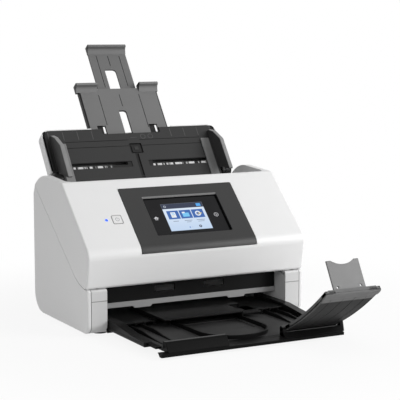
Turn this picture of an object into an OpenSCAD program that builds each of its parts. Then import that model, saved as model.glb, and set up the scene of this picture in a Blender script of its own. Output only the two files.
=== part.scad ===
// Sheet-fed document scanner with its trays drawn out, as an assembly.
// +X is to the right seen from the front, +Y to the back, +Z up. Millimetres.
// Lengths along Y are first taken from the front face of the cheeks, and the
// whole assembly is then moved so that its box is centred over the origin.

/* [Housing] */
// Width of the housing
body_w = 296; // [286:1:355]
// Depth of the base from the cheek faces to the back wall
body_d = 169; // [166:1:202]
// Wall thickness of the housing shells
wall = 2.6; // [2:0.1:3.1]
// Height of the rubber feet
foot_h = 3; // [2:0.5:3.5]
// Diameter of a rubber foot
foot_d = 18; // [12:1:22]
// Width of each cheek beside the paper exit
cheek_w = 25.5; // [24.5:0.5:27]
// Height of the cheeks
cheek_h = 56; // [55:0.5:56.5]
// Radius of the lower front edge of the base
front_edge_r = 12; // [6:1:16]
// Radius of the lower back edge of the base
back_edge_r = 26; // [12:1:30]
// Height of the seam between base and cover at the back
seam_back_z = 163.7; // [162:0.1:165]
// Height of the seam where its straight run ends
seam_mid_z = 71.4; // [70:0.1:72.5]
// Distance from the front to the end of the straight seam
seam_mid_y = 43; // [42:0.5:44]

/* [Front cover] */
// Gap between the cover and the base along the seam
seam_gap = 0.9; // [0.6:0.1:1.2]
// Distance of the cover hinge axis behind the cheek faces
hinge_y = 5.5; // [5.2:0.1:6]
// Height of the cover hinge axis
hinge_z = 61; // [60.8:0.1:61.4]
// Radius of the rounded lower edge of the cover
nose_r = 4.6; // [4.3:0.1:4.8]
// Radius of the bend between front and sloping face
bend_r = 18; // [12:1:22]
// Height of the middle of the bend
bend_z = 92; // [86:1:96]
// How far the bend stands out in front of the cheeks
bend_out = 4; // [2:0.5:5]
// Distance from the front to the top edge of the sloping face
crest_y = 76; // [74:0.5:77]
// Height of the top edge of the sloping face
crest_z = 174.5; // [172:0.5:178]
// Width of each ear beside the paper input
ear_w = 10; // [9.5:0.5:10.5]
// Height of the ears above the back seam
ear_h = 14.2; // [13:0.2:15]
// Height of the floor of the hollow behind the cover's top edge
hollow_z = 141.5; // [140.5:0.5:142]

/* [Control panel] */
// Width of the dark panel
panel_w = 157; // [140:1:170]
// Start of the panel below the top edge, along the slope
panel_top = 15; // [10:1:20]
// How far the panel stands out of the cover
panel_proud = 0.6; // [0.3:0.1:1]
// Width of the display glass
glass_w = 102; // [90:1:110]
// Height of the display glass along the slope
glass_h = 58.4; // [50:0.2:62]
// Start of the glass below the top edge, along the slope
glass_top = 32.3; // [28:0.1:34]
// Depth of the glass below the cover's slope
glass_sink = 2; // [0.5:0.1:2.4]
// Side of the square power button
button_s = 12; // [10:0.5:13]
// Place of the power button left of the middle
button_x = 94.7; // [92:0.1:97]
// Place of the status lamp left of the middle
lamp_x = 108.7; // [106:0.1:112]
// Diameter of the status lamp
lamp_d = 3; // [2:0.1:4]
// Travel of the power button
button_travel = 1; // [0.6:0.1:1]

/* [Input tray] */
// Lean of the input tray back from the vertical, in degrees
tray_tilt = 35.9; // [35:0.1:37]
// Length of the tray plate along its slope
tray_len = 87; // [84:0.5:88]
// Clearance between the tray plate and each ear
ear_play = 10.5; // [10:0.1:12]
// Thickness of the tray plate
plate_t = 3; // [2.4:0.1:3.6]
// Place of the tray hinge up the plate
tray_hinge_s = 13.5; // [13:0.1:14]
// Radius of the tray hinge pins
tray_pin_r = 2.5; // [2:0.1:2.8]
// Widest paper that fits between the guides
paper_w = 224; // [200:1:224]
// Narrowest paper that fits between the guides
paper_min = 64; // [64:1:90]
// How far the guides stand up from the plate
guide_h = 26; // [18:0.5:26]
// Thickness of a guide
guide_t = 5.5; // [3:0.5:5.5]
// Width of the lower paper support
support_w = 111.5; // [104:0.5:112]
// Width of the upper paper support
extender_w = 56; // [40:1:57]
// Travel of each paper support
support_travel = 58; // [40:1:58]

/* [Output tray] */
// Clearance between the output tray and each cheek
out_play = 1.5; // [1:0.1:4]
// Travel of the output tray
out_travel = 88; // [60:1:88]
// Travel of the tray extension
ext_travel = 22; // [15:1:22]
// Top of the side decks of the tray
deck_z = 15.5; // [15:0.1:15.6]
// Top of the middle deck of the tray
mid_deck_z = 20.5; // [19.5:0.1:21]
// Thickness of the decks
deck_t = 2; // [1.6:0.1:2]
// Length of the stop flap
flap_len = 100; // [80:1:100]
// Width of the stop flap
flap_w = 73.6; // [60:0.2:73.6]
// Thickness of the stop flap over its rim
flap_t = 4.6; // [4:0.1:4.6]
// Angle of the flap's root above the floor, in degrees
flap_rise = 26; // [20:1:30]
// How much the flap curves up along its length, in degrees
flap_curl = 15; // [8:1:15]
// Width of the stop plate
stop_w = 43; // [30:1:46]
// Length of the stop plate
stop_len = 37.5; // [25:0.5:40]
// Lean of the stop plate back from the vertical, in degrees
stop_lean = 29; // [15:1:32]

/* [Rollers] */
// Diameter of the feed roller
feed_d = 24; // [20:1:24]
// Diameter of the transport and exit rollers
drive_d = 16; // [12:1:16]
// Diameter of the separation roller
separation_d = 18; // [14:1:18]
// Diameter of the idler rollers
idler_d = 12; // [9:1:13]
// Diameter of the driven shafts
shaft_d = 6; // [5:0.2:7.2]
// Gap left for the sheet between two facing rollers
nip_gap = 0.6; // [0.6:0.1:1]

/* [Hidden] */
$fn = 48;
play = 0.4;
pin_play = 0.05;
hw = body_w/2;
gate = hw - cheek_w;
floor_z = foot_h;
tray_z0 = floor_z + wall + 0.6;
back_y = body_d;
seam_back_y = body_d - 5;
path_a = atan2(seam_back_z - seam_mid_z, seam_back_y - seam_mid_y);
exit_y = seam_mid_y - 19;
exit_z = seam_mid_z - (seam_mid_y - exit_y)*tan(path_a);
path_len = (seam_back_y - exit_y)/cos(path_a);
bend_c = [bend_r - bend_out, bend_z];
crest = [crest_y, crest_z];
bend_a = atan2(crest_z - bend_c[1], crest_y - bend_c[0])
    + acos(bend_r/norm(crest - bend_c));
slope_a = bend_a - 90;
panel_low_a = 172;
glass_t = 1.6;
glass_play = 0.3;
glass_back = glass_sink + glass_t;
skirt_t = 1.5;
ear_in = hw - ear_w;
tray_w = 2*(ear_in - ear_play);
out_w = 2*(gate - out_play);
hollow_y = crest_y + 2;
throat_y = seam_back_y - 45;
tray_foot = [seam_back_y - 19.7, seam_back_z - 4.6];
tray_hinge = tray_foot + tray_hinge_s*[sin(tray_tilt), cos(tray_tilt)];
foot_w = 2*(gate - 5.5);
guide_in = paper_w/2;
guide_travel = (paper_w - paper_min)/2;
ledge_w = 14;
slot_s = 32;
slot_h = 6;
slot_x0 = guide_in - ledge_w - guide_travel;
slot_x1 = guide_in - 4;
rack_pitch = 4;
pinion_n = 12;
pinion_r = pinion_n*rack_pitch/(2*PI);
tooth_h = 2.2;
rack_d0 = plate_t + play;
rack_t = 3;
support_d = plate_t + 4;
support_t = 3.4;
support_s0 = 18 + support_travel;
support_s1 = support_s0 + 80;
extender_d = support_d + support_t + play;
extender_t = 2.4;
tray_t = extender_d + extender_t + 0.6 + wall;
extender_s0 = 29 + 2*support_travel;
extender_s1 = extender_s0 + 77.6;
support_x = 2.5;
extender_x = 4;
rim_w = 2;
lip_x0 = 31;
lip_x1 = 59.5;
shell_s0 = 11;
wide_s0 = 24;
out_y0 = -95;
out_y1 = back_y - 24 - out_travel;
ext_y0 = out_y0 - ext_travel - 2;
ext_y1 = -10;
rail_in = out_w/2 - 10;
ext_w = 2*rail_in - 2;
mid_left = -64;
mid_right = 58;
notch_x = 41;
notch_y = 6;
flap_x0 = 46;
flap_x1 = flap_x0 + flap_w;
flap_axis = [ext_y0 - 3, 16];
flap_pin_r = 1.5;
flap_r = flap_len*180/(PI*flap_curl);
stop_pin_r = 1;
stop_t = 2.2;
stop_x0 = 60;
stop_in = 4;
stop_axis_u = 1 - stop_in/flap_len;
feed_p = 104;
drive_p = 84;
exit_p = 20;
lower_scan_p = 62;
upper_scan_p = 40;
guide_gap = 1.4;
guide_sheet = 2;
bush_r = 5;
frame_x = gate;
frame_t = 2.6;
pulley_x = frame_x + frame_t + 3;
pulley_w = 6;
feed_pulley_r = 8;
drive_pulley_r = 6;
exit_pulley_r = 5;
motor_pulley_r = 6;
motor_c = [110, 70];
belt_t = 1.2;
rear_hw = 112;
rear_z0 = 36;
rear_z1 = 138;
arm_x = hw - 16;
arm_t = 4;
screw_x = hw - 7;
screw_r = 1.5;
screw_ys = [30, body_d - 45];
board_gap = 6.4;
board_t = 1.6;
board_y = back_y - wall - board_gap;
// Each socket: middle across, width, lowest edge, height
sockets = [[62, 11, 58, 11], [28, 13, 58, 12], [-8, 17, 58, 14]];
feed_c = on_path(feed_p, -feed_d/2 - nip_gap/2);
drive_c = on_path(drive_p, -drive_d/2 - nip_gap/2);
exit_c = on_path(exit_p, -drive_d/2 - nip_gap/2);
driven = [feed_c, drive_c, exit_c];
feed_spans = [[6, 30]];
drive_spans = [[20, 36], [70, 86]];
exit_spans = [[20, 48]];
scan_w = 226;
scan_d = 16;
window_d = 12;
bar_z0 = 27;
bar_z1 = 33.2;
tab_z = 24.4;
cover_pin_r = 1.6;
bracket_p = path_len - 22;
button_t = 61.7;
board_depth = 9.4;
board_post_x = [-113, 84];
board_post_t = [34, 92];
separation_h = separation_d/2 + nip_gap/2;
idler_h = idler_d/2 + nip_gap/2;
idler_pin_r = 2;
// Corners of one pinion tooth: angle from its middle, distance from the axis
tooth = [[-9, pinion_r - tooth_h/2], [-3, pinion_r + tooth_h/2 - 0.3],
    [3, pinion_r + tooth_h/2 - 0.3], [9, pinion_r - tooth_h/2]];
stop_axis = flap_at(stop_axis_u, 1);
box_front = flap_axis[0] - flap_r*(sin(flap_rise + flap_curl) - sin(flap_rise)) - 2;
box_back = tray_foot[0] + extender_s1*sin(tray_tilt) + (extender_d + extender_t)*cos(tray_tilt);
place_y = -(box_front + box_back)/2;

// Points on an arc about c, from angle a0 to a1 in n steps
function arc(c, r, a0, a1, n = 10) =
    [for (i = [0:n]) c + r*[cos(a0 + (a1 - a0)*i/n), sin(a0 + (a1 - a0)*i/n)]];

// Seam between base and cover from front to back, raised by dz
function seam(dz) = concat(
    [for (i = [0:6]) let (t = i/6)
        pow(1 - t, 2)*[hinge_y - 0.5, cheek_h + dz]
        + 2*t*(1 - t)*[exit_y, exit_z + dz]
        + t*t*[seam_mid_y, seam_mid_z + dz]],
    [[seam_back_y, seam_back_z + dz]]);

// Point in side view at p up the paper path and h above it
function on_path(p, h) = [exit_y + p*cos(path_a) - h*sin(path_a),
    exit_z + p*sin(path_a) + h*cos(path_a)];

// Middle line of the stop flap at u from root to tip, n above it
function flap_at(u, n) = let (a = flap_rise + flap_curl*u)
    [flap_axis[0] - flap_r*(sin(a) - sin(flap_rise)) + n*sin(a),
     flap_axis[1] + flap_r*(cos(flap_rise) - cos(a)) + n*cos(a)];

// Side view outlines
module base_side() {
    polygon(concat(
        [[0, cheek_h - 2.5], [1.5, cheek_h - 0.4]],
        seam(0),
        arc([back_y - 14, seam_back_z - 13.7], 14, 40, 0, 4),
        arc([back_y - back_edge_r, floor_z + back_edge_r], back_edge_r, 0, -90),
        arc([front_edge_r, floor_z + front_edge_r], front_edge_r, 270, 180)));
}

module cover_side() {
    polygon(concat(
        arc([hinge_y, hinge_z], nose_r, 262, 183, 8),
        arc(bend_c, bend_r, 186, bend_a),
        [crest],
        [for (i = [0:11]) let (t = i/12)
            (1 - t)*(1 - t)*[seam_back_y - 34, seam_back_z + ear_h]
            + 2*t*(1 - t)*[seam_back_y - 16, seam_back_z + ear_h]
            + t*t*[seam_back_y, seam_back_z + seam_gap]],
        [for (i = [len(seam(0)) - 1:-1:1]) seam(seam_gap)[i]]));
}

module hollow_side() {
    polygon([[hollow_y, 260], [hollow_y, hollow_z + 3], [hollow_y + 3, hollow_z],
        [throat_y - 3, hollow_z], [throat_y, hollow_z - 3], [throat_y, 60], [260, 60], [260, 260]]);
}

// Extrudes a side view across the width, from x0 to x1
module across(x0, x1) {
    translate([x0, 0, 0]) rotate([90, 0, 90]) linear_extrude(x1 - x0) children();
}

// Draws on both sides
module both_sides() {
    children();
    mirror([1, 0, 0]) children();
}

// A straight round bar across the width, at c in side view
module bar(c, r, x0, x1) {
    translate([x0, c[0], c[1]]) rotate([0, 90, 0]) cylinder(r = r, h = x1 - x0);
}

// Frames: y up the paper path, z above it
module on_paper_path() { translate([0, exit_y, exit_z]) rotate([path_a, 0, 0]) children(); }
// y up the sloping face from its top edge, z out of it
module on_slope() { translate([0, crest_y, crest_z]) rotate([slope_a, 0, 0]) children(); }
// y behind the tray plate, z up along it
module on_tray() { translate([0, tray_foot[0], tray_foot[1]]) rotate([-tray_tilt, 0, 0]) children(); }

module block(a, b) { translate(a) cube(b - a); }

// Base: housing, frames and what they carry
module base_shell() color("#e9eaec") {
    difference() {
        across(-hw, hw) base_side();
        across(-hw + wall, hw - wall) offset(delta = -wall) base_side();
        block([-gate, -1, floor_z + wall], [gate, seam_mid_y + 10, cheek_h + 4]);
        block([-gate, -1, 0], [gate, 2, 40]);
        on_paper_path() block([-foot_w/2 - 1, -20, -9], [foot_w/2 + 1, path_len + 12, 6]);
        block([-hw + 4, 10, -1], [hw - 4, back_y - 30, floor_z + wall + 1]);
        block([-rear_hw, back_y - 10, rear_z0], [rear_hw, back_y + 1, rear_z1]);
        both_sides() block([arm_x - play, 8, 40], [arm_x + arm_t + play, 40, 75]);
        on_paper_path() block([pulley_x - 1, 10, -6], [pulley_x + pulley_w + 1, feed_p + 6, 3]);
    }
    both_sides() for (y = screw_ys) difference() {
        intersection() {
            translate([screw_x, y, floor_z + 2]) cylinder(r = 5.4, h = 12);
            block([0, 0, 0], [hw - wall, body_d, 40]);
        }
        translate([screw_x, y, 0]) cylinder(r = screw_r, h = 12);
    }
}

module rear_cover() color("#dfe0e3") {
    post_y = back_y - wall;
    difference() {
        block([-rear_hw + play, back_y - wall, rear_z0 + play], [rear_hw - play, back_y, rear_z1 - play]);
        for (s = sockets) block([s[0] - s[1]/2 - play, 0, s[2] - play],
            [s[0] + s[1]/2 + play, body_d + 1, s[2] + s[3] + play]);
        for (x = [-60:6:36]) block([x, 0, 110], [x + 2.4, body_d + 1, 128]);
    }
    for (x = [-80, 80], z = [50, 96])
        translate([x, post_y, z]) rotate([90, 0, 0]) cylinder(r = 3, h = board_gap);
}

module bottom_cover() color("#3a3b3e")
    difference() {
        block([-hw + 4 + play, 10 + play, floor_z], [hw - 4 - play, back_y - 30 - play, floor_z + 2]);
        both_sides() for (y = screw_ys) translate([screw_x, y, 0]) {
            cylinder(r = screw_r + 0.1, h = 10);
            cylinder(r = 3.1, h = floor_z + 1.2);
        }
    }

module rubber_feet() color("#1b1b1d")
    both_sides() for (y = [24, back_y - 48])
        translate([hw - 26, y, 0]) cylinder(d = foot_d, h = floor_z);

module case_screws() color("#8d9095")
    both_sides() for (y = screw_ys) translate([screw_x, y, floor_z]) {
        translate([0, 0, 0.2]) cylinder(r = 3, h = 1);
        translate([0, 0, 1.2]) cylinder(r = screw_r, h = 7);
    }

module frame_side() {
    intersection() {
        offset(delta = -wall - 0.3) base_side();
        polygon(concat([[wall, floor_z + wall + 0.4], [wall, cheek_h - 6]],
            [for (p = [8, path_len - 36]) on_path(p, -4)],
            [[back_y - 20, 118], [back_y - 12, 60], [back_y - 20, floor_z + wall + 0.4]]));
    }
}

module side_frame(bores) {
    difference() {
        across(frame_x, frame_x + frame_t) frame_side();
        for (p = driven) bar(p, bush_r, 0, hw);
        if (bores) bar(motor_c, 6, 0, hw);
    }
}

module left_side_frame() color("#c9cbce") mirror([1, 0, 0]) side_frame(false);
module right_side_frame() color("#c9cbce") side_frame(true);

module shaft_bushes() color("#d8c9a0")
    both_sides() for (p = driven) difference() {
        bar(p, bush_r, frame_x, frame_x + frame_t);
        bar(p, shaft_d/2 + pin_play, 0, hw);
    }

module tyre_windows(p, d, spans, h) {
    for (s = spans) both_sides()
        block([s[0] - 1.2, p - d/2 - 0.5, -h], [s[1] + 1.2, p + d/2 + 0.5, h]);
}

module lower_guide() color("#2c2d30")
    on_paper_path() difference() {
        block([-foot_w/2, 5, -guide_gap - guide_sheet], [foot_w/2, path_len - 38, -guide_gap]);
        tyre_windows(feed_p, 17, feed_spans, 20);
        tyre_windows(drive_p, 14, drive_spans, 20);
        tyre_windows(exit_p, 14, exit_spans, 20);
        block([-108 - play, lower_scan_p - window_d/2 - play, -9],
            [108 + play, lower_scan_p + window_d/2 + play, 0]);
    }

module lower_scan_unit() color("#3b3d42")
    on_paper_path() block([-scan_w/2, lower_scan_p - scan_d/2, -guide_gap - guide_sheet - 14],
        [scan_w/2, lower_scan_p + scan_d/2, -guide_gap - guide_sheet]);

module lower_scan_glass() color("#9fb4b0")
    on_paper_path() block([-108, lower_scan_p - window_d/2, -guide_gap - guide_sheet],
        [108, lower_scan_p + window_d/2, -guide_gap - 0.2]);

module exit_frame() color("#17181a")
    difference() {
        block([-gate + 0.2, exit_y + 2, bar_z1], [gate - 0.2, exit_y + 4.5, exit_z - 2.4]);
        both_sides() block([20, 0, 40.5], [48, 60, 49]);
    }

module exit_bar() color("#a9abae") {
    block([-gate + 0.2, exit_y, bar_z0], [gate - 0.2, exit_y + 4.5, bar_z1]);
    both_sides() block([52, exit_y, tab_z], [78, exit_y + 2, bar_z0 + 0.1]);
}

module hinge_arms() color("#7d8085")
    both_sides() {
        difference() {
            across(arm_x, arm_x + arm_t) {
                translate([hinge_y, hinge_z]) circle(r = nose_r - 1.2);
                polygon([[hinge_y, hinge_z - 2.4], [hinge_y, hinge_z + 2.6], [22, 66], [34, 62],
                    [36, 22], [24, 22], [24, 56], [17, 60]]);
            }
            bar([hinge_y, hinge_z], cover_pin_r + pin_play, 0, hw);
        }
        block([arm_x + arm_t - 0.1, 24.5, 22], [hw - wall, 35.5, 42]);
    }

module cover_catches() color("#7d8085")
    both_sides() across(hw - 6.6, hw - 3.2) polygon(concat(
        [on_path(path_len - 52, 0), on_path(path_len - 52, 7)],
        arc(on_path(path_len - 49, 7), 3, 90 + path_a, path_a, 6),
        [on_path(path_len - 46, 0)]));

module tray_brackets() color("#2c2d30")
    both_sides() difference() {
        across(foot_w/2 + 2.6, tray_w/2 - 0.5) {
            translate(tray_hinge) circle(r = 6);
            polygon([on_path(bracket_p, 0), on_path(bracket_p + 17, 0),
                tray_hinge + [5.4, 0.5], tray_hinge + [-5.6, -2]]);
        }
        bar(tray_hinge, tray_pin_r, 0, hw);
    }

module tray_hinge_pins() color("#b9bcc0")
    both_sides() bar(tray_hinge, tray_pin_r, foot_w/2 - 2, tray_w/2 - 0.5);

module drive_motor() color("#54575c") {
    bar(motor_c, 18, frame_x - 42, frame_x);
    bar(motor_c, 2.5, frame_x, pulley_x + pulley_w);
}

module motor_pulley() color("#d0d2d4")
    difference() {
        bar(motor_c, motor_pulley_r, pulley_x, pulley_x + pulley_w);
        bar(motor_c, 2.5 + pin_play, 0, hw);
    }

module belt_loop(grow) {
    hull() {
        translate(feed_c) circle(r = feed_pulley_r + grow, $fn = 32);
        translate(drive_c) circle(r = drive_pulley_r + grow, $fn = 32);
        translate(exit_c) circle(r = exit_pulley_r + grow, $fn = 32);
        translate(motor_c) circle(r = motor_pulley_r + grow, $fn = 32);
    }
}

module drive_belt() color("#202124")
    across(pulley_x + 0.5, pulley_x + pulley_w - 0.5) difference() {
        belt_loop(play + belt_t);
        belt_loop(play);
    }

module driven_shaft(c, pulley_r) color("#b9bcc0") {
    bar(c, shaft_d/2, -frame_x - frame_t - 1, pulley_x + pulley_w);
    bar(c, pulley_r, pulley_x, pulley_x + pulley_w);
}

module tyres(c, d, spans) color("#34363a")
    for (s = spans) both_sides() difference() {
        bar(c, d/2, s[0], s[1]);
        bar(c, shaft_d/2, 0, hw);
    }

module feed_shaft() driven_shaft(feed_c, feed_pulley_r);
module feed_tyres() tyres(feed_c, feed_d, feed_spans);
module transport_shaft() driven_shaft(drive_c, drive_pulley_r);
module transport_tyres() tyres(drive_c, drive_d, drive_spans);
module exit_shaft() driven_shaft(exit_c, exit_pulley_r);
module exit_tyres() tyres(exit_c, drive_d, exit_spans);

module main_board() color("#2f6b45")
    block([-88, board_y - board_t, 44], [88, board_y, 104]);

module socket(i, tint) {
    s = sockets[i];
    color(tint) difference() {
        block([s[0] - s[1]/2, board_y, s[2]], [s[0] + s[1]/2, back_y - 0.2, s[2] + s[3]]);
        if (i == 0) translate([s[0], back_y + 1, s[2] + s[3]/2]) rotate([90, 0, 0]) cylinder(r = 3.6, h = 9);
        else block([s[0] - s[1]/2 + 1.6, back_y - 8, s[2] + 1.6],
            [s[0] + s[1]/2 - 1.6, back_y + 1, s[2] + s[3] - 1.6]);
    }
}
module power_inlet() socket(0, "#202124");
module usb_socket() socket(1, "#b4b7bb");
module network_socket() socket(2, "#b4b7bb");

// Opening in the underside of the cover, up to p along the paper path
module under_opening(p) {
    polygon([on_path(14, -6), on_path(p, -6), on_path(p, 9), on_path(14, 9)]);
}

// Cover: the hinged upper half with the panel
module front_cover() color("#eceded")
    difference() {
        union() {
            difference() {
                across(-hw, hw) cover_side();
                across(-ear_in, ear_in) hollow_side();
                across(-ear_in - wall - 4, ear_in + wall + 4) {
                    offset(delta = -wall) difference() {
                        cover_side();
                        hollow_side();
                    }
                    under_opening(path_len - 59);
                }
                both_sides() across(ear_in + wall, hw - wall) {
                    offset(delta = -wall) cover_side();
                    under_opening(path_len - 6);
                }
                panel_window();
            }
            both_sides() for (x = [arm_x - 5, arm_x + arm_t + play])
                bar([hinge_y, hinge_z], nose_r - 0.5, x, x + 4.6);
            for (x = board_post_x, y = board_post_t)
                on_slope() translate([x, -y, -board_depth]) cylinder(r = 3, h = board_depth - 1);
        }
        both_sides() across(arm_x - play, arm_x + arm_t + play) {
            translate([hinge_y, hinge_z]) circle(r = nose_r - 0.8);
            polygon([[hinge_y - 2.8, hinge_z - 9], [hinge_y - 2.8, hinge_z - 2], [hinge_y, hinge_z + 3.6],
                [24, 68], [60, 84], [60, 40]]);
        }
        both_sides() bar([hinge_y, hinge_z], cover_pin_r, arm_x - 6, arm_x + arm_t + 5);
        on_slope() {
            block([-button_x - button_s/2 - play, -button_t - button_s/2 - play, -wall - 1],
                [-button_x + button_s/2 + play, -button_t + button_s/2 + play, 1]);
            translate([-lamp_x, -button_t, -wall - 1]) cylinder(d = lamp_d + 0.2, h = wall + 2);
        }
    }

module panel_strip(high, low, grow) {
    top = panel_top - grow;
    up = [cos(slope_a), sin(slope_a)];
    out = [cos(bend_a), sin(bend_a)];
    polygon(concat(
        arc(bend_c, bend_r + high, panel_low_a + grow*3, bend_a),
        [crest - top*up + high*out, crest - top*up + low*out],
        arc(bend_c, bend_r + low, bend_a, panel_low_a + grow*3)));
}

module panel_window()
    across(-panel_w/2 - play, panel_w/2 + play) panel_strip(5, -wall - 2, play);

module control_panel() color("#3a3c40")
    difference() {
        union() {
            across(-panel_w/2, panel_w/2) panel_strip(panel_proud, -wall + 0.6, 0);
            on_slope() glass_block(glass_play + skirt_t, -glass_back, -wall + 1);
        }
        on_slope() glass_block(glass_play, -20, 20);
    }

// Block over the glass, grown by g on all four sides
module glass_block(g, low, high) {
    block([-glass_w/2 - g, -glass_top - glass_h - g, low], [glass_w/2 + g, -glass_top + g, high]);
}

module display_glass() color("#0b0c0e")
    on_slope() glass_block(0, -glass_back, -glass_sink);

module display_module() color("#a9c8e8")
    on_slope() block([-36, -90, -6], [32, -39, -glass_back]);

module panel_board() color("#2f6b45")
    on_slope() {
        block([-118, -99, -board_depth - board_t], [88, -27, -board_depth]);
        block([-button_x - 4, -button_t - 4, -board_depth],
            [-button_x + 4, -button_t + 4, -5.2 - button_travel - play]);
        block([-34, -88, -board_depth], [30, -41, -6]);
    }

module status_lamp() color("#2f6fe0")
    on_slope() translate([-lamp_x, -button_t, -board_depth]) cylinder(d = lamp_d, h = board_depth + 0.3);

module power_button() color("#e4e5e7")
    on_slope() {
        block([-button_x - button_s/2, -button_t - button_s/2, -wall - play],
            [-button_x + button_s/2, -button_t + button_s/2, 0.4]);
        block([-button_x - button_s/2 - 1.5, -button_t - button_s/2 - 1.5, -5.2],
            [-button_x + button_s/2 + 1.5, -button_t + button_s/2 + 1.5, -wall - play]);
    }

module cover_hinge_pins() color("#b9bcc0")
    both_sides() bar([hinge_y, hinge_z], cover_pin_r, arm_x - 5, arm_x + arm_t + 5);

module lug(x, p, h) {
    difference() {
        translate([x, 0, 0]) rotate([90, 0, 90]) linear_extrude(2.4) union() {
            translate([p, h]) circle(r = 3.6);
            polygon([[p - 3.6, guide_gap + guide_sheet - 0.1], [p + 3.6, guide_gap + guide_sheet - 0.1],
                [p + 3.6, h], [p - 3.6, h]]);
        }
        translate([x - 1, p, h]) rotate([0, 90, 0]) cylinder(r = idler_pin_r + pin_play, h = 5);
    }
}

module upper_guide() color("#2c2d30")
    on_paper_path() {
        difference() {
            union() {
                block([-foot_w/2 + play, 14.4, guide_gap],
                    [foot_w/2 - play, path_len - 60, guide_gap + guide_sheet]);
                block([-hw + wall + play, 34, guide_gap],
                    [hw - wall - play, path_len - 60, guide_gap + guide_sheet]);
            }
            block([-17, feed_p - 8, 0], [17, feed_p + 8, 20]);
            tyre_windows(drive_p, 10, drive_spans, 20);
            tyre_windows(exit_p, 10, exit_spans, 20);
            block([-108 - play, upper_scan_p - window_d/2 - play, 0],
                [108 + play, upper_scan_p + window_d/2 + play, 9]);
            both_sides() block([arm_x - 6, 10, 0], [arm_x + arm_t + 6, 60, 9]);
        }
        both_sides() {
            lug(19, feed_p, separation_h);
            for (p = [drive_p, exit_p]) lug(92, p, idler_h);
        }
    }

module upper_scan_unit() color("#3b3d42")
    on_paper_path() block([-scan_w/2, upper_scan_p - scan_d/2, guide_gap + guide_sheet],
        [scan_w/2, upper_scan_p + scan_d/2, guide_gap + guide_sheet + 14]);

module upper_scan_glass() color("#9fb4b0")
    on_paper_path() block([-108, upper_scan_p - window_d/2, guide_gap + 0.2],
        [108, upper_scan_p + window_d/2, guide_gap + guide_sheet]);

module idler(p, h, d, spans, reach) color("#34363a")
    on_paper_path() translate([0, p, h]) rotate([0, 90, 0]) {
        translate([0, 0, -reach]) cylinder(r = idler_pin_r, h = 2*reach);
        for (s = spans) both_ends() translate([0, 0, s[0]]) cylinder(d = d, h = s[1] - s[0]);
    }

module both_ends() {
    children();
    mirror([0, 0, 1]) children();
}

module separation_roller() idler(feed_p, separation_h, separation_d, [[0, 14]], 22);
module transport_idlers() idler(drive_p, idler_h, idler_d, drive_spans, 95);
module exit_idlers() idler(exit_p, idler_h, idler_d, exit_spans, 95);

// Input tray: plate, shell, guides and supports
module tray_plate() color("#3d3f43")
    on_tray() {
        difference() {
            union() {
                translate([0, plate_t, 0]) rotate([90, 0, 0]) linear_extrude(plate_t) difference() {
                    tray_outline(tray_w/2, tray_len);
                    translate([0, tray_len]) square([84, 19.4], center = true);
                    both_sides() translate([slot_x0, slot_s - slot_h/2]) square([slot_x1 - slot_x0, slot_h]);
                }
                both_sides() translate([foot_w/2 - 2, 0, tray_hinge_s]) rotate([0, 90, 0])
                    cylinder(r = 5, h = 4.2);
            }
            both_sides() translate([foot_w/2 - 3, 0, tray_hinge_s]) rotate([0, 90, 0])
                cylinder(r = tray_pin_r + pin_play, h = 8);
            block([-9, -1, 46], [9, 1.2, 61.5]);
            block([-4, -1, 8], [1, 1.2, 46.1]);
            for (z = [58, 67]) block([-98, -1, z], [98, 0.5, z + 0.8]);
        }
    }

module tray_outline(half, top) {
    r = 12;
    polygon(concat(
        [[-foot_w/2, 0], [foot_w/2, 0], [foot_w/2, wide_s0], [half, wide_s0]],
        arc([half - r, top - r], r, 0, 90, 6),
        arc([-half + r, top - r], r, 90, 180, 6),
        [[-half, wide_s0], [-foot_w/2, wide_s0]]));
}

module tray_shell() color("#e9eaec")
    on_tray() difference() {
        translate([0, tray_t, 0]) rotate([90, 0, 0]) linear_extrude(tray_t - plate_t) intersection() {
            tray_outline(tray_w/2, tray_len);
            translate([0, shell_s0 + 100]) square([300, 200], center = true);
        }
        translate([0, tray_t - wall, 0]) rotate([90, 0, 0]) linear_extrude(tray_t) offset(delta = -wall)
            intersection() {
                tray_outline(tray_w/2, tray_len);
                translate([0, shell_s0 + 100]) square([300, 200], center = true);
            }
        translate([support_x, 0, 0]) block([-support_w/2 - rim_w - play, plate_t, 60],
            [support_w/2 + rim_w + play, extender_d + extender_t + play, 100]);
        both_sides() block([foot_w/2 - 2.4, 0, tray_hinge_s - 6], [foot_w/2 + 3, 6, tray_hinge_s + 6]);
    }

// Rack with its teeth down, from just past the pinion to the guide
module rack() {
    count = 28;
    for (i = [0:count - 1]) translate([(1.5 - i)*rack_pitch, rack_t, 0]) rotate([90, 0, 0])
        linear_extrude(rack_t) polygon([[-0.9, 0.1], [-0.4, -tooth_h], [0.4, -tooth_h], [0.9, 0.1]]);
    translate([-guide_in + 6, 0, 0]) cube([guide_in + 2, rack_t, 3]);
}

// Fin and ledge of a guide, left side
module guide_fin() {
    across(-guide_in - guide_t, -guide_in) polygon([[-play, tray_hinge_s + 7.5], [-guide_h, 0],
        [-guide_h, 48], [-15, 66], [-6, 74.5], [-play, 76]]);
    block([-guide_in - 1, -play - 2, 6], [-guide_in + ledge_w, -play, 64]);
}

// Shank through the slot, arm and rack of a guide, from the pinion's axis
module guide_rack() {
    rack_s = pinion_r + tooth_h/2 + 0.3;
    x0 = -guide_in + 6;
    x1 = -guide_in + ledge_w - 1;
    block([x0, -rack_d0 - play - 1, -1.5], [x1, rack_t, 1.5]);
    block([x0, 0, -1.5], [x1, rack_t, rack_s + 3]);
    translate([0, 0, rack_s]) rack();
}

module left_guide() color("#55585c")
    on_tray() {
        guide_fin();
        translate([0, rack_d0, slot_s]) guide_rack();
    }

module right_guide() color("#55585c")
    on_tray() {
        mirror([1, 0, 0]) guide_fin();
        translate([0, rack_d0, slot_s]) rotate([0, 180, 0]) guide_rack();
    }

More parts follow.
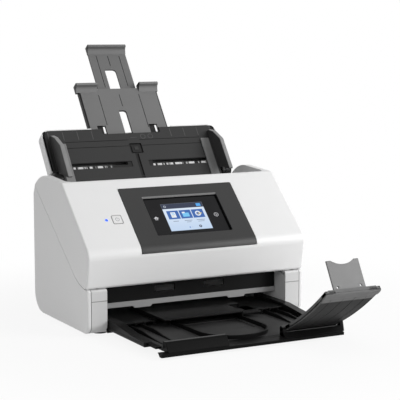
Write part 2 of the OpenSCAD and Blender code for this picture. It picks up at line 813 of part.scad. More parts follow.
module guide_pinion() color("#d8d9db")
    on_tray() translate([0, rack_d0 + rack_t, slot_s]) rotate([90, 0, 0]) {
        difference() {
            linear_extrude(rack_t) polygon([for (i = [0:pinion_n - 1], c = tooth)
                let (a = 90 + i*360/pinion_n + c[0]) c[1]*[cos(a), sin(a)]]);
            translate([0, 0, -1]) cylinder(r = 2 + pin_play, h = rack_t + 2);
        }
    }

// Lip at the top of a paper support, hooked towards the paper
module support_lip(x0, x1, d, t, top)
    across(x0, x1) polygon([[d + t, top - 11.5], [d, top - 11.5], [d - 2.5, top - 7], [d - 4, top - 5],
        [d - 8, top - 3.4], [d - 8, top - 0.8], [d - 7.2, top], [d + t, top]]);

module paper_support() color("#6d7074")
    on_tray() difference() {
        union() {
            translate([support_x, 0, 0]) {
                block([-support_w/2, support_d, support_s0],
                    [support_w/2, support_d + support_t, support_s1 - 3.5]);
                both_sides() block([support_w/2 - 1, support_d + 1, support_s0],
                    [support_w/2 + rim_w, extender_d + extender_t, support_s1 - 4]);
            }
            for (x = [[-lip_x1, 2.6 - lip_x0], [lip_x0 + 2, lip_x1 + 2]])
                support_lip(x[0], x[1], support_d, support_t, support_s1 + 2);
        }
        block([-5.2, 0, support_s0 + 4], [5.8, 30, support_s0 + 41.4]);
        for (x = [-42, 33.5]) {
            block([x, 0, support_s0 + 16.5], [x + 10.8, 30, support_s0 + 18.5]);
            block([x + 8.8, 0, support_s0 + 6], [x + 10.8, 30, support_s0 + 18.5]);
        }
        for (x = [-28.5, 2, 31])
            block([x, 0, support_s0 + 48], [x + 1, support_d + 0.6, support_s1 - 13]);
    }

module support_extender() color("#6d7074")
    on_tray() translate([extender_x, 0, 0]) difference() {
        union() {
            block([-extender_w/2, extender_d, extender_s0],
                [extender_w/2, extender_d + extender_t, extender_s1 - 3]);
            support_lip(-extender_w/2 - 0.5, extender_w/2 + 0.5, extender_d, extender_t, extender_s1);
        }
        block([-10, 0, extender_s0 + 4], [6.3, 30, extender_s0 + 40.7]);
        for (x = [-17, 0, 17])
            block([x, 0, extender_s0 + 47], [x + 1, extender_d + 0.6, extender_s1 - 14]);
    }

// Output tray: sliding frame, extension, stop flap and stop plate
module output_tray() color("#1d1e20") {
    block([-rail_in, -12, deck_z - deck_t], [mid_left, out_y1, deck_z]);
    block([mid_left - deck_t, -12, deck_z - deck_t], [mid_left, out_y1, mid_deck_z]);
    difference() {
        block([mid_left - deck_t, -36, mid_deck_z - deck_t], [mid_right, out_y1, mid_deck_z]);
        block([notch_x, -60, 0], [100, notch_y, 40]);
    }
    block([mid_right - deck_t, notch_y, deck_z - deck_t], [mid_right, out_y1, mid_deck_z]);
    block([notch_x - deck_t, -36, deck_z - deck_t], [notch_x, notch_y + deck_t, mid_deck_z]);
    block([notch_x - deck_t, notch_y, deck_z - deck_t], [mid_right, notch_y + deck_t, mid_deck_z]);
    block([notch_x - deck_t, -26, deck_z - deck_t], [72, notch_y + deck_t, deck_z]);
    block([mid_right - deck_t, -14, deck_z - deck_t], [rail_in, out_y1, deck_z]);
    both_sides() difference() {
        across(rail_in - 1, out_w/2) polygon([[out_y0, tray_z0], [out_y0, 12], [-60, 13.6], [-30, 17],
            [-14, 19], [out_y1, 19], [out_y1, tray_z0]]);
        block([rail_in - 2, out_y0 - 1, tray_z0 + 1.4], [rail_in + 6.5, out_y1 + 1, tray_z0 + 4.8]);
        block([rail_in - 2, out_y0 - 1, 0], [rail_in, out_y1 + 1, deck_z - deck_t]);
    }
}

module tray_extension() color("#1a1b1d") {
    half = ext_w/2;
    difference() {
        block([-half, ext_y0, tray_z0], [half, ext_y1, tray_z0 + 2]);
        block([-38, -70, 0], [38, -20, 40]);
    }
    block([-38.5, -70.5, tray_z0], [38.5, -19.5, tray_z0 + 0.8]);
    both_sides() block([half - 1, ext_y0 + 4, tray_z0 + 1.8], [half + 6.4, ext_y1, tray_z0 + 4.2]);
    both_sides() block([42, -75, tray_z0 + 1.9], [44.5, ext_y1, deck_z - deck_t - 0.5]);
    translate([0, -75, tray_z0 + 1.9]) rotate([0, 0, 180]) rotate_extrude(angle = 180)
        translate([42, 0]) square([2.5, deck_z - deck_t - tray_z0 - 2.4]);
    for (x = [-100, -84, 84, 100]) block([x, -112, tray_z0 + 1.9], [x + 2, ext_y1, deck_z - deck_t - 0.6]);
    across(-half, -33) polygon(concat([[ext_y0, tray_z0], [ext_y0, 17]],
        arc([ext_y0 - 4, 13], 5, 80, 150, 5), [[ext_y0 - 14, tray_z0]]));
    across(notch_x, flap_x1 + 2) polygon([[ext_y0, tray_z0], [ext_y0, 11.4], [ext_y0 - 8, 12],
        [ext_y0 - 14, tray_z0]]);
    across(-119.5, 119.5) polygon([[ext_y0 - 6, tray_z0 + 1], [ext_y0 - 16.5, tray_z0],
        [ext_y0 - 16.5, 2.6], [ext_y0 - 11, 2.6], [ext_y0 - 9, tray_z0 - 1]]);
    across(-34, notch_x + 1) polygon([[ext_y0 + 1, tray_z0], [ext_y0 + 1, tray_z0 + 2],
        [ext_y0 - 7, tray_z0 + 0.8], [ext_y0 - 8, tray_z0]]);
    difference() {
        union() {
            across(notch_x, flap_x0 - play) flap_claw();
            across(flap_x1 + play, flap_x1 + 5) flap_claw();
        }
        bar(flap_axis, flap_pin_r, 0, 200);
    }
}

module flap_claw() {
    translate(flap_axis) circle(r = 3.4);
    polygon([flap_axis + [3.4, 0], flap_axis + [-3.4, 0], [ext_y0 - 9, tray_z0], [ext_y0, tray_z0]]);
}

module flap_pin() color("#8d9095")
    bar(flap_axis, flap_pin_r, notch_x, flap_x1 + 5);

module flap_sheet(low, high, u0, u1) {
    n = 10;
    polygon(concat([for (i = [0:n]) flap_at(u0 + (u1 - u0)*i/n, low)],
        [for (i = [n:-1:0]) flap_at(u0 + (u1 - u0)*i/n, high)]));
}

module stop_flap() color("#3f4145")
    difference() {
        union() {
            across(flap_x0, flap_x1) {
                translate(flap_axis) circle(r = 3);
                flap_sheet(-flap_t/2, -flap_t/2 + 1.8, 0, 1);
                flap_sheet(-flap_t/2, flap_t/2, 0, 0.12);
            }
            across(flap_x0, flap_x0 + 3) flap_sheet(-flap_t/2, flap_t/2, 0, 1);
            across(flap_x1 - 3, flap_x1) flap_sheet(-flap_t/2, flap_t/2, 0, 1);
            across(flap_x0, stop_x0 - play) flap_sheet(-flap_t/2, flap_t/2, 0.9, 1);
            across(stop_x0 + stop_w + play, flap_x1) flap_sheet(-flap_t/2, flap_t/2, 0.9, 1);
        }
        bar(flap_axis, flap_pin_r + pin_play, 0, 200);
        bar(stop_axis, stop_pin_r, 0, flap_x1 - 4);
        across(stop_x0 - play, stop_x0 + stop_w + play) translate(stop_axis) circle(r = 2.35);
    }

module stop_pin() color("#8d9095")
    bar(stop_axis, stop_pin_r, flap_x0 + 4, flap_x1 - 4);

module stop_plate() color("#8f9295")
    difference() {
        union() {
            bar(stop_axis, 1.9, stop_x0 + 0.5, stop_x0 + stop_w - 0.5);
            translate([stop_x0, stop_axis[0], stop_axis[1]]) rotate([-stop_lean, 0, 0]) difference() {
                translate([0, -stop_t/2, 0]) cube([stop_w, stop_t, stop_len]);
                translate([stop_w/2, 10, stop_len + 12]) rotate([90, 0, 0]) cylinder(r = 18, h = 20);
                for (x = [6, stop_w - 6]) translate([x, 10, 6]) rotate([90, 0, 0]) cylinder(r = 1.6, h = 20);
            }
        }
        bar(stop_axis, stop_pin_r + pin_play, 0, 200);
    }

// Moves the assembly so that its box is centred over the origin
module placed() { translate([0, place_y, 0]) children(); }

placed() base_shell();
placed() rear_cover();
placed() bottom_cover();
placed() rubber_feet();
placed() case_screws();
placed() left_side_frame();
placed() right_side_frame();
placed() lower_guide();
placed() exit_frame();
placed() exit_bar();
placed() hinge_arms();
placed() cover_catches();
placed() tray_brackets();
placed() tray_hinge_pins();
placed() lower_scan_unit();
placed() lower_scan_glass();
placed() shaft_bushes();
placed() drive_motor();
placed() motor_pulley();
placed() drive_belt();
placed() feed_shaft();
placed() feed_tyres();
placed() transport_shaft();
placed() transport_tyres();
placed() exit_shaft();
placed() exit_tyres();
placed() main_board();
placed() power_inlet();
placed() usb_socket();
placed() network_socket();
placed() front_cover();
placed() cover_hinge_pins();
placed() upper_guide();
placed() upper_scan_unit();
placed() upper_scan_glass();
placed() separation_roller();
placed() transport_idlers();
placed() exit_idlers();
placed() control_panel();
placed() display_glass();
placed() display_module();
placed() panel_board();
placed() status_lamp();
placed() power_button();
placed() tray_plate();
placed() tray_shell();
placed() left_guide();
placed() right_guide();
placed() guide_pinion();
placed() paper_support();
placed() support_extender();
placed() output_tray();
placed() tray_extension();
placed() flap_pin();
placed() stop_flap();
placed() stop_pin();
placed() stop_plate();
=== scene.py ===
import math

import bmesh
import bpy
from bpy.props import FloatProperty, FloatVectorProperty, IntProperty, PointerProperty
from mathutils import Matrix, Vector


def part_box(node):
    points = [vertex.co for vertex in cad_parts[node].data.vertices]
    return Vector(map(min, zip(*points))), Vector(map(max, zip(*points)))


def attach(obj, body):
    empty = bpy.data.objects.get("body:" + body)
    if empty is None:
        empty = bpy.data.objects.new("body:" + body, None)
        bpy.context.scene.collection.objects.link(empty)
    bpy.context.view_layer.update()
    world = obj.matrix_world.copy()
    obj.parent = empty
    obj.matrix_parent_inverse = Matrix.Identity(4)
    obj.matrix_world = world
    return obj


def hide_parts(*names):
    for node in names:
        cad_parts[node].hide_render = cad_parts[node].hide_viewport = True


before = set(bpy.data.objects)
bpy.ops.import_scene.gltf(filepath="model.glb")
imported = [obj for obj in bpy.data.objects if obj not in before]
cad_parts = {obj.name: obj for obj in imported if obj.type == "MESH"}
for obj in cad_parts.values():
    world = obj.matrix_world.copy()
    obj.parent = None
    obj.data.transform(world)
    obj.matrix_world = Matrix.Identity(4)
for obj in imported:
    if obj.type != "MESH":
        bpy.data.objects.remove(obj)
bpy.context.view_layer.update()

bl_info = {
    "name": "Sheet-fed document scanner",
    "version": (1, 0, 0),
    "blender": (4, 5, 0),
    "location": "3D View > Sidebar > Scanner",
    "description": "Builds the visible pieces of a desktop sheet-fed document scanner",
    "category": "Object",
}

# Lengths are in millimetres. Y is measured back from the faces of the cheeks, as in the part's source.
MM = 0.001
CHEEK_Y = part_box("base_shell")[0][1] / MM

HALF_W = 148.0              # housing, half its width
GATE = 122.5                # half the opening between the cheeks
EXIT_HALF = 122.3           # half the frame and the bar in that opening
WALL = 2.6
TOE, TOE_R = (12.0, 15.0), 12.0
BROW = [(0.0, 53.5), (1.5, 55.6)]
JOINT_X, JOINT_Z, JOINT_HALF = 142.85, 42.05, 0.35   # fine joints round a cheek's front
SEAM_GAP = 0.9
SEAM_BEND = (43.0, 71.4)
EAR_IN = 138.0
EAR_ROOM = (140.6, 145.4)   # inside of an ear, across
ROOM = 144.6                # half the room inside the cover
KNUCKLE = (131.6, 136.4)    # slot for a hinge arm, across
PATH_ORIGIN = (24.0, 56.9066)
PATH_ANGLE = math.radians(37.33675)
PATH_LEN = 176.073
CREST = (76.0, 174.5)
EAR_TOP = (130.0, 177.9)
SLOPE_ANGLE = math.radians(43.02976)
BEND_C = (14.0, 92.0)
BEND_R = 18.0
BEND_END = 133.02976
HINGE = (5.5, 61.0)
PANEL_HALF = 78.5
PANEL_TOP = 15.0            # below the crest
PANEL_LOW = 172.0           # round the bend, in degrees
WINDOW = (-51.3, -91.0, 51.3, -32.0)
BUTTON = (-94.7, -61.7)
LAMP = (-108.7, -61.7)
TRAY_FOOT = (144.3, 159.1)
TRAY_TILT = math.radians(35.9)
TRAY_HINGE = 13.5           # up the plate
FOOT_HALF, FOOT_TOP = 117.0, 24.0
SLOT_S = 32.0               # middle of the guides' slots, up the plate
PITCH, TEETH = 4.0, 12      # of the pinion between the guides' racks
FLAP_AXIS = (-122.0, 16.0)
FLAP_RISE = math.radians(26.0)
FLAP_CURL = math.radians(15.0)
FLAP_LEN = 100.0
FLAP_X = (46.0, 119.6)
STOP_AXIS = (-201.47, 69.18937)
STOP_LEAN = math.radians(29.0)
SMOOTH = math.radians(32.0)


# ------------------------------------------------------------------ outlines

def arc(c, r, a0, a1, n=10):
    """Points on an arc about c, angles in degrees."""
    turns = [math.radians(a0 + (a1 - a0) * i / n) for i in range(n + 1)]
    return [(c[0] + r * math.cos(a), c[1] + r * math.sin(a)) for a in turns]


def circle(c, r, n=24):
    return arc(c, r, 0, 360 - 360 / n, n - 1)


def curve(a, b, c, n):
    """Points on a curve from a to c that is drawn towards b."""
    return [tuple((1 - t) ** 2 * p + 2 * t * (1 - t) * q + t * t * r for p, q, r in zip(a, b, c))
            for t in [i / n for i in range(n + 1)]]


def seam(dz):
    """Line between base and cover in side view, raised by dz."""
    rows = [(y, z + dz) for y, z in ((5.0, 56.0), PATH_ORIGIN, SEAM_BEND, (164.0, 163.7))]
    return curve(*rows[:3], 12) + rows[3:]


def path_band(top):
    """Side view of the opening along the paper path, up to top."""
    c, s = math.cos(PATH_ANGLE), math.sin(PATH_ANGLE)
    return [(PATH_ORIGIN[0] + p * c - h * s, PATH_ORIGIN[1] + p * s + h * c)
            for p, h in ((14, -6), (top, -6), (top, 9), (14, 9))]


def signed_area(pts):
    return sum(a[0] * b[1] - b[0] * a[1] for a, b in zip(pts, pts[1:] + pts[:1])) / 2


def shrunk(pts, d, hold=()):
    """An outline moved inwards by d; edges between points in hold stay, edges that vanish close up."""
    if signed_area(pts) < 0:
        pts = pts[::-1]
    n = len(pts)
    held = [p in hold for p in pts]
    pts = [Vector(p) for p in pts]
    runs = [(pts[(i + 1) % n] - pts[i]).normalized() for i in range(n)]
    lines = []
    for i, run in enumerate(runs):
        move = 0.0 if held[i] and held[(i + 1) % n] else d
        lines.append((pts[i] + Vector((-run.y, run.x)) * move, run))
    live = [True] * n
    while True:
        out = []
        for v in range(n):
            i, j = (v - 1) % n, v
            while not live[i]:
                i = (i - 1) % n
            while not live[j]:
                j = (j + 1) % n
            (p, a), (q, b) = lines[i], lines[j]
            cross = a.x * b.y - a.y * b.x
            if abs(cross) < 1e-4:
                out.append(q if j == v else (p + q) / 2)
            else:
                w = q - p
                out.append(p + a * ((w.x * b.y - w.y * b.x) / cross))
        back = [((out[(i + 1) % n] - out[i]).dot(runs[i]), i) for i in range(n) if live[i]]
        worst, i = min(back)
        if worst > -1e-6 or len(back) < 4:
            return [tuple(p) for p in out]
        live[i] = False


def rounded(pts, radii, n=5):
    """An outline with its corners rounded; radii is one number or one for each corner."""
    m = len(pts)
    if not isinstance(radii, (list, tuple)):
        radii = [radii] * m
    out = []
    for i in range(m):
        b = Vector(pts[i])
        if radii[i] <= 0:
            out.append(tuple(b))
            continue
        u = Vector(pts[i - 1]) - b
        v = Vector(pts[(i + 1) % m]) - b
        half = u.angle(v) / 2
        t = min(radii[i] / math.tan(half), u.length * 0.49, v.length * 0.49)
        p0, p1 = b + u.normalized() * t, b + v.normalized() * t
        for k in range(n + 1):
            s = k / n
            w = 2 * s * (1 - s) * math.sin(half) ** 0.5
            q0, q1 = (1 - s) ** 2, s * s
            out.append(tuple((p0 * q0 + b * w + p1 * q1) / (q0 + w + q1)))
    return out


def rectangle(u0, v0, u1, v1, r=0.0, n=4):
    pts = [(u0, v0), (u1, v0), (u1, v1), (u0, v1)]
    return rounded(pts, r, n) if r else pts


def about(c, half):
    """Corners of a square about c."""
    return (c[0] - half, c[1] - half, c[0] + half, c[1] + half)


def ribbon(pts, low, high):
    """Outline of a band along an open line, from low to high on its left."""
    sides = []
    for d in (low, high):
        row = []
        for i, p in enumerate(pts):
            e = (Vector(pts[min(i + 1, len(pts) - 1)]) - Vector(pts[max(i - 1, 0)])).normalized()
            row.append((p[0] - e.y * d, p[1] + e.x * d))
        sides.append(row)
    return sides[0] + sides[1][::-1]


def base_outline():
    return (BROW + seam(0) + arc((155.0, 150.0), 14, 40, 0, 8)
            + arc((143.0, 29.0), 26, 0, -90, 12) + arc(TOE, TOE_R, 270, 180, 8))


def ear_back(inset):
    """Top of an ear, from where it starts to round off down to the back seam."""
    y, z = EAR_TOP
    return curve((y, z - inset), (148.0 - 0.4 * inset, z - inset), (164.0 - 1.5 * inset, 164.6), 14)


def cover_outline():
    crest = rounded([(30.0, 131.56), CREST, EAR_TOP], [0, 5, 0], 4)[1:-1]
    return (arc(HINGE, 4.6, 262, 183, 8) + arc(BEND_C, BEND_R, 186, BEND_END, 14)
            + crest + ear_back(0.0)[:-1] + seam(SEAM_GAP)[:0:-1])


def cover_inside(ear):
    """The room inside the cover: below the hollow, or in an ear."""
    lift = WALL / math.cos(PATH_ANGLE)

    def over_seam(y):
        return (y, SEAM_BEND[1] + SEAM_GAP + (y - SEAM_BEND[0]) * math.tan(PATH_ANGLE) + lift)

    front = arc(HINGE, 2.0, 255, 183, 5) + arc(BEND_C, BEND_R - WALL, 186, BEND_END, 10)
    low = [(y, z + lift) for y, z in seam(SEAM_GAP) if 12 < y < 150][::-1]
    if ear:
        return front + [(74.0, 169.1)] + ear_back(WALL)[:-1] + [over_seam(156.0)] + low
    return front + [(75.4, 170.38), (75.4, 138.9), (116.4, 138.9), over_seam(116.4)] + low


def panel_outline(high, low, grow=0.0):
    """Section of the control panel round the bend and up the slope, from low to high over the cover."""
    c, s = math.cos(SLOPE_ANGLE), math.sin(SLOPE_ANGLE)
    top, start = PANEL_TOP - grow, PANEL_LOW + grow * 3
    ends = [(CREST[0] - top * c - h * s, CREST[1] - top * s + h * c) for h in (high, low)]
    return (arc(BEND_C, BEND_R + high, start, BEND_END, 14) + ends
            + arc(BEND_C, BEND_R + low, BEND_END, start, 14))


def tray_outline(half, top, low, r):
    return ([(-FOOT_HALF, low), (FOOT_HALF, low), (FOOT_HALF, FOOT_TOP), (half, FOOT_TOP)]
            + arc((half - r, top - r), r, 0, 90, 8) + arc((-half + r, top - r), r, 90, 180, 8)
            + [(-half, FOOT_TOP), (-FOOT_HALF, FOOT_TOP)])


def flap_at(u, n):
    """Point on the stop flap at u from root to tip, n above its middle line."""
    r = FLAP_LEN / FLAP_CURL
    a = FLAP_RISE + FLAP_CURL * u
    return (FLAP_AXIS[0] - r * (math.sin(a) - math.sin(FLAP_RISE)) + n * math.sin(a),
            FLAP_AXIS[1] + r * (math.cos(FLAP_RISE) - math.cos(a)) + n * math.cos(a))


# ------------------------------------------------------------------ frames

def axes(origin, u, v, w):
    m = Matrix.Identity(4)
    for col, vec in enumerate((u, v, w, origin)):
        for row in range(3):
            m[row][col] = vec[row]
    return m


def slanted(origin, y, z):
    """Frame with X across, its second axis along (y, z) in side view and its third square to both."""
    return axes((0, *origin), (1, 0, 0), (0, y, z), (0, -z, y))


SIDE = axes((0, 0, 0), (0, 1, 0), (0, 0, 1), (1, 0, 0))        # outline in Y, Z; across X
PLAN = axes((0, 0, 0), (1, 0, 0), (0, 1, 0), (0, 0, 1))        # outline in X, Y; up Z
FRONT = axes((0, 0, 0), (1, 0, 0), (0, 0, 1), (0, -1, 0))      # outline in X, Z; forward
SLOPE = slanted(CREST, math.cos(SLOPE_ANGLE), math.sin(SLOPE_ANGLE))       # X, up the slope; out of it
PATH = slanted(PATH_ORIGIN, math.cos(PATH_ANGLE), math.sin(PATH_ANGLE))    # X, up the paper path; above it
TRAY = slanted(TRAY_FOOT, math.sin(TRAY_TILT), math.cos(TRAY_TILT))        # X, up the plate; out of its face
STOP = slanted(STOP_AXIS, math.sin(STOP_LEAN), math.cos(STOP_LEAN))        # X, up the stop plate; out of it
TRAY_SIDE = axes((0, *TRAY_FOOT), TRAY.col[1][:3], TRAY.col[2][:3], (1, 0, 0))   # up, out; across X


# ------------------------------------------------------------------ meshes

def loft(rings, caps=True):
    """A mesh through rings of points that all have the same length."""
    bm = bmesh.new()
    rows = [[bm.verts.new(p) for p in ring] for ring in rings]
    n = len(rows[0])
    for a, b in zip(rows, rows[1:]):
        for i in range(n):
            j = (i + 1) % n
            bm.faces.new((a[i], a[j], b[j], b[i]))
    if caps:
        bm.faces.new(rows[0][::-1])
        bm.faces.new(rows[-1])
    bmesh.ops.remove_doubles(bm, verts=bm.verts, dist=1e-5)
    bmesh.ops.recalc_face_normals(bm, faces=bm.faces)
    return bm


def level(outline, place, h):
    """An outline's points at height h in a frame."""
    return [place @ Vector((p[0], p[1], h)) for p in outline]


def prism(outline, place, a, b, ra=0.0, rb=0.0, steps=3, hold=()):
    """An outline pushed from a to b along the third axis of place, its end edges rounded by ra and rb."""
    if signed_area(outline) < 0:
        outline = outline[::-1]
    turns = [math.pi / 2 * k / steps for k in range(steps)]
    rows = [(a + ra * (1 - math.cos(t)), ra * (1 - math.sin(t))) for t in turns if ra]
    rows += [(a + ra, 0.0), (b - rb, 0.0)]
    rows += [(b - rb * (1 - math.cos(t)), rb * (1 - math.sin(t))) for t in reversed(turns) if rb]
    return loft([level(shrunk(outline, inset, hold) if inset else outline, place, h) for h, inset in rows])


def block(place, u0, v0, u1, v1, a, b, r=0.0, ra=0.0, rb=0.0, steps=3):
    """A rectangle, its corners rounded by r, pushed from a to b."""
    return prism(rectangle(u0, v0, u1, v1, r), place, a, b, ra, rb, steps)


def bar(c, r, x0, x1, n=24, edge=0.0):
    """A round bar across the width."""
    return prism(circle(c, r, n), SIDE, x0, x1, edge, edge)


def turned(place, c, profile, n, caps=True):
    """A mesh through circles about c, each given as radius and height."""
    return loft([level(circle(c, r, n), place, h) for r, h in profile], caps)


def together(*parts):
    """One mesh that holds several."""
    bm = parts[0]
    for other in parts[1:]:
        tmp = bpy.data.meshes.new("tmp")
        other.to_mesh(tmp)
        other.free()
        bm.from_mesh(tmp)
        bpy.data.meshes.remove(tmp)
    return bm


def mirrored(bm):
    """The mirror image across the middle plane, as a mesh of its own."""
    other = bm.copy()
    bmesh.ops.scale(other, vec=(-1, 1, 1), verts=other.verts)
    bmesh.ops.reverse_faces(other, faces=other.faces)
    return other


def both_sides(bm):
    return together(bm, mirrored(bm))


def as_object(bm, name):
    me = bpy.data.meshes.new(name)
    bm.to_mesh(me)
    bm.free()
    ob = bpy.data.objects.new(name, me)
    bpy.context.scene.collection.objects.link(ob)
    return ob


def evaluate(ob):
    """Works an object's modifiers into its mesh and takes them off."""
    graph = bpy.context.evaluated_depsgraph_get()
    graph.update()
    me = bpy.data.meshes.new_from_object(ob.evaluated_get(graph), preserve_all_data_layers=True,
                                         depsgraph=graph)
    ob.modifiers.clear()
    old = ob.data
    me.name = ob.name
    ob.data = me
    if old.users == 0:
        bpy.data.meshes.remove(old)


def taken_out(ob, *helpers):
    """An object's evaluated mesh; the object and its helpers are deleted."""
    evaluate(ob)
    out = bmesh.new()
    out.from_mesh(ob.data)
    for o in (ob, *helpers):
        me = o.data
        bpy.data.objects.remove(o, do_unlink=True)
        bpy.data.meshes.remove(me)
    if not out.faces:
        raise RuntimeError("a mesh came out empty")
    return out


def cut(bm, *cutters):
    """A mesh less its cutters."""
    ob = as_object(bm, "work")
    tools = [as_object(c, "cutter") for c in cutters]
    for tool in tools:
        mod = ob.modifiers.new("cut", "BOOLEAN")
        mod.operation = "DIFFERENCE"
        mod.solver = "EXACT"
        mod.object = tool
    out = taken_out(ob, *tools)
    bmesh.ops.remove_doubles(out, verts=out.verts, dist=2e-4)
    bmesh.ops.dissolve_degenerate(out, edges=out.edges, dist=1e-4)
    return out


def piece(bm, name, material, body, node=None):
    """Makes the finished object of a mesh: placed, smoothed, given its finish and hung on its body."""
    for v in bm.verts:
        v.co = Vector((v.co.x * MM, (v.co.y + CHEEK_Y) * MM, v.co.z * MM))
    ob = as_object(bm, name)
    me = ob.data
    me.polygons.foreach_set("use_smooth", [True] * len(me.polygons))
    me.set_sharp_from_angle(angle=SMOOTH)
    mod = ob.modifiers.new("normals", "WEIGHTED_NORMAL")
    mod.keep_sharp = True
    mod.weight = 50
    evaluate(ob)
    ob.data.materials.clear()
    ob.data.materials.append(material)
    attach(ob, body)
    if node:
        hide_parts(node)


def paint(node, material):
    """Gives a carried-over piece its finish."""
    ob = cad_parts[node]
    if not ob.material_slots:
        ob.data.materials.append(material)
    for slot in ob.material_slots:
        slot.material = material


# ------------------------------------------------------------------ repeated pieces

COPY_INPUTS = (("Geometry", "Geometry"), ("Piece", "Object"), ("Count", "Int"), ("Start", "Vector"),
               ("Step", "Vector"), ("Finish", "Material"))


def copies_tree():
    """Node tree that sets copies of one piece along a line, sizes as inputs."""
    tree = bpy.data.node_groups.get("copies along a line")
    if tree:
        return tree
    tree = bpy.data.node_groups.new("copies along a line", "GeometryNodeTree")
    for label, kind in COPY_INPUTS:
        tree.interface.new_socket(label, in_out="INPUT", socket_type="NodeSocket" + kind)
    tree.interface.new_socket("Geometry", in_out="OUTPUT", socket_type="NodeSocketGeometry")
    src, out = tree.nodes.new("NodeGroupInput"), tree.nodes.new("NodeGroupOutput")
    line, info, inst, real, mat = (
        tree.nodes.new("GeometryNode" + kind)
        for kind in ("MeshLine", "ObjectInfo", "InstanceOnPoints", "RealizeInstances", "SetMaterial"))
    line.mode = "OFFSET"
    info.transform_space = "ORIGINAL"
    for a, outlet, b, inlet in (
            (src, "Count", line, "Count"), (src, "Start", line, "Start Location"), (src, "Step", line, "Offset"),
            (src, "Piece", info, "Object"), (line, "Mesh", inst, "Points"), (info, "Geometry", inst, "Instance"),
            (inst, "Instances", real, "Geometry"), (real, "Geometry", mat, "Geometry"),
            (src, "Finish", mat, "Material"), (mat, "Geometry", out, "Geometry")):
        tree.links.new(a.outputs[outlet], b.inputs[inlet])
    return tree


def copies(bm, count, start, step, material):
    """Copies of a mesh along X, as one mesh."""
    src = as_object(bm, "repeated")
    ob = as_object(bmesh.new(), "copies")
    mod = ob.modifiers.new("copies", "NODES")
    mod.node_group = copies_tree()
    ids = {s.name: s.identifier for s in mod.node_group.interface.items_tree if s.in_out == "INPUT"}
    for label, value in (("Piece", src), ("Count", count), ("Start", (start, 0.0, 0.0)),
                         ("Step", (step, 0.0, 0.0)), ("Finish", material)):
        mod[ids[label]] = value
    return taken_out(ob, src)


# ------------------------------------------------------------------ finishes

class Sock:
    """A shader socket that takes part in Python expressions."""

    def __init__(self, tree, socket):
        self.tree, self.socket = tree, socket

    def node(self, kind, settings=None, out=0, **values):
        n = self.tree.nodes.new(kind)
        for key, val in (settings or {}).items():
            setattr(n, key, val)
        for key, val in values.items():
            numbered = key[0] == "i" and key[1:].isdigit()
            self.feed(n.inputs[int(key[1:]) if numbered else key.replace("_", " ")], val)
        return Sock(self.tree, n.outputs[out])

    def feed(self, inlet, value):
        """Links a socket to an input, or sets the input to a plain value."""
        if isinstance(value, Sock):
            self.tree.links.new(value.socket, inlet)
        else:
            inlet.default_value = value

    def math(self, op, other=0.0, first=None):
        a, b = (self, other) if first is None else (first, self)
        return self.node("ShaderNodeMath", {"operation": op}, i0=a, i1=b)

    def __add__(self, o): return self.math("ADD", o)
    def __sub__(self, o): return self.math("SUBTRACT", o)
    def __rsub__(self, o): return self.math("SUBTRACT", first=o)
    def __mul__(self, o): return self.math("MULTIPLY", o)
    def __abs__(self): return self.math("ABSOLUTE")

    def soft(self, lo, hi, a=0.0, b=1.0):
        """Runs from a to b as the value goes from lo to hi."""
        return self.node("ShaderNodeMapRange", {"interpolation_type": "SMOOTHSTEP"}, Value=self,
                         From_Min=lo, From_Max=hi, To_Min=a, To_Max=b)

    def least(self, *others):
        out = self
        for o in others:
            out = out.math("MINIMUM", o)
        return out

    def most(self, *others):
        out = self
        for o in others:
            out = out.math("MAXIMUM", o)
        return out

    def span(self, o):
        """Length of the line to a point with this value and o for coordinates."""
        return (self.math("POWER", 2.0) + o.math("POWER", 2.0)).math("SQRT")

    def mix(self, a, b):
        """Colour between a and b by this value."""
        return self.node("ShaderNodeMix", {"data_type": "RGBA"}, out=2, i0=self, i6=a, i7=b)


class Finish:
    """A material under construction."""

    def __init__(self, name):
        self.mat = bpy.data.materials.new(name + "_finish")
        self.mat.use_nodes = True
        self.tree = self.mat.node_tree
        self.shader = self.tree.nodes["Principled BSDF"]
        self.coord = Sock(self.tree, self.tree.nodes.new("ShaderNodeTexCoord").outputs["Object"])

    def set(self, **values):
        for key, val in values.items():
            self.coord.feed(self.shader.inputs[key.replace("_", " ")], val)
        return self.mat

    def noise(self, scale, detail=2.0, rough=0.5):
        return self.coord.node("ShaderNodeTexNoise", Vector=self.coord, Scale=scale, Detail=detail,
                               Roughness=rough)

    def streaks(self, stretch, scale, detail):
        """Noise that is drawn out by a different amount along each axis."""
        v = self.coord.node("ShaderNodeMapping", Vector=self.coord, Scale=stretch)
        return self.coord.node("ShaderNodeTexNoise", Vector=v, Scale=scale, Detail=detail)

    def grain(self, scale):
        return self.coord.node("ShaderNodeTexVoronoi", {"feature": "F1"}, Vector=self.coord, Scale=scale)

    def bump(self, height, strength):
        return self.coord.node("ShaderNodeBump", Strength=strength, Distance=0.0001, Height=height)

    def plastic(self, colour, drift, grain=2600.0, patches=38.0, share=0.7):
        """Tone of moulded plastic, and the fine and the slow pattern behind it."""
        fine = self.noise(grain, 2.0, 0.6)
        slow = self.noise(patches, 3.0, 0.55)
        tone = (slow * share + fine * (1 - share)).mix(shade(colour, 1 - drift), shade(colour, 1 + drift))
        return tone, fine, slow

    def frame(self, place):
        """Coordinates in millimetres in a frame of the part: three values."""
        m = place.inverted() @ Matrix.Scale(1 / MM, 4) @ Matrix.Translation((0, -CHEEK_Y * MM, 0))
        loc, rot, sca = m.decompose()
        v = self.coord.node("ShaderNodeMapping", {"vector_type": "POINT"}, Vector=self.coord,
                            Location=tuple(loc), Rotation=tuple(rot.to_euler()), Scale=tuple(sca))
        n = self.tree.nodes.new("ShaderNodeSeparateXYZ")
        self.tree.links.new(v.socket, n.inputs[0])
        return [Sock(self.tree, n.outputs[i]) for i in range(3)]


def rgb(c):
    return (c[0], c[1], c[2], 1.0)


def grey(v):
    return (v, v, v, 1.0)


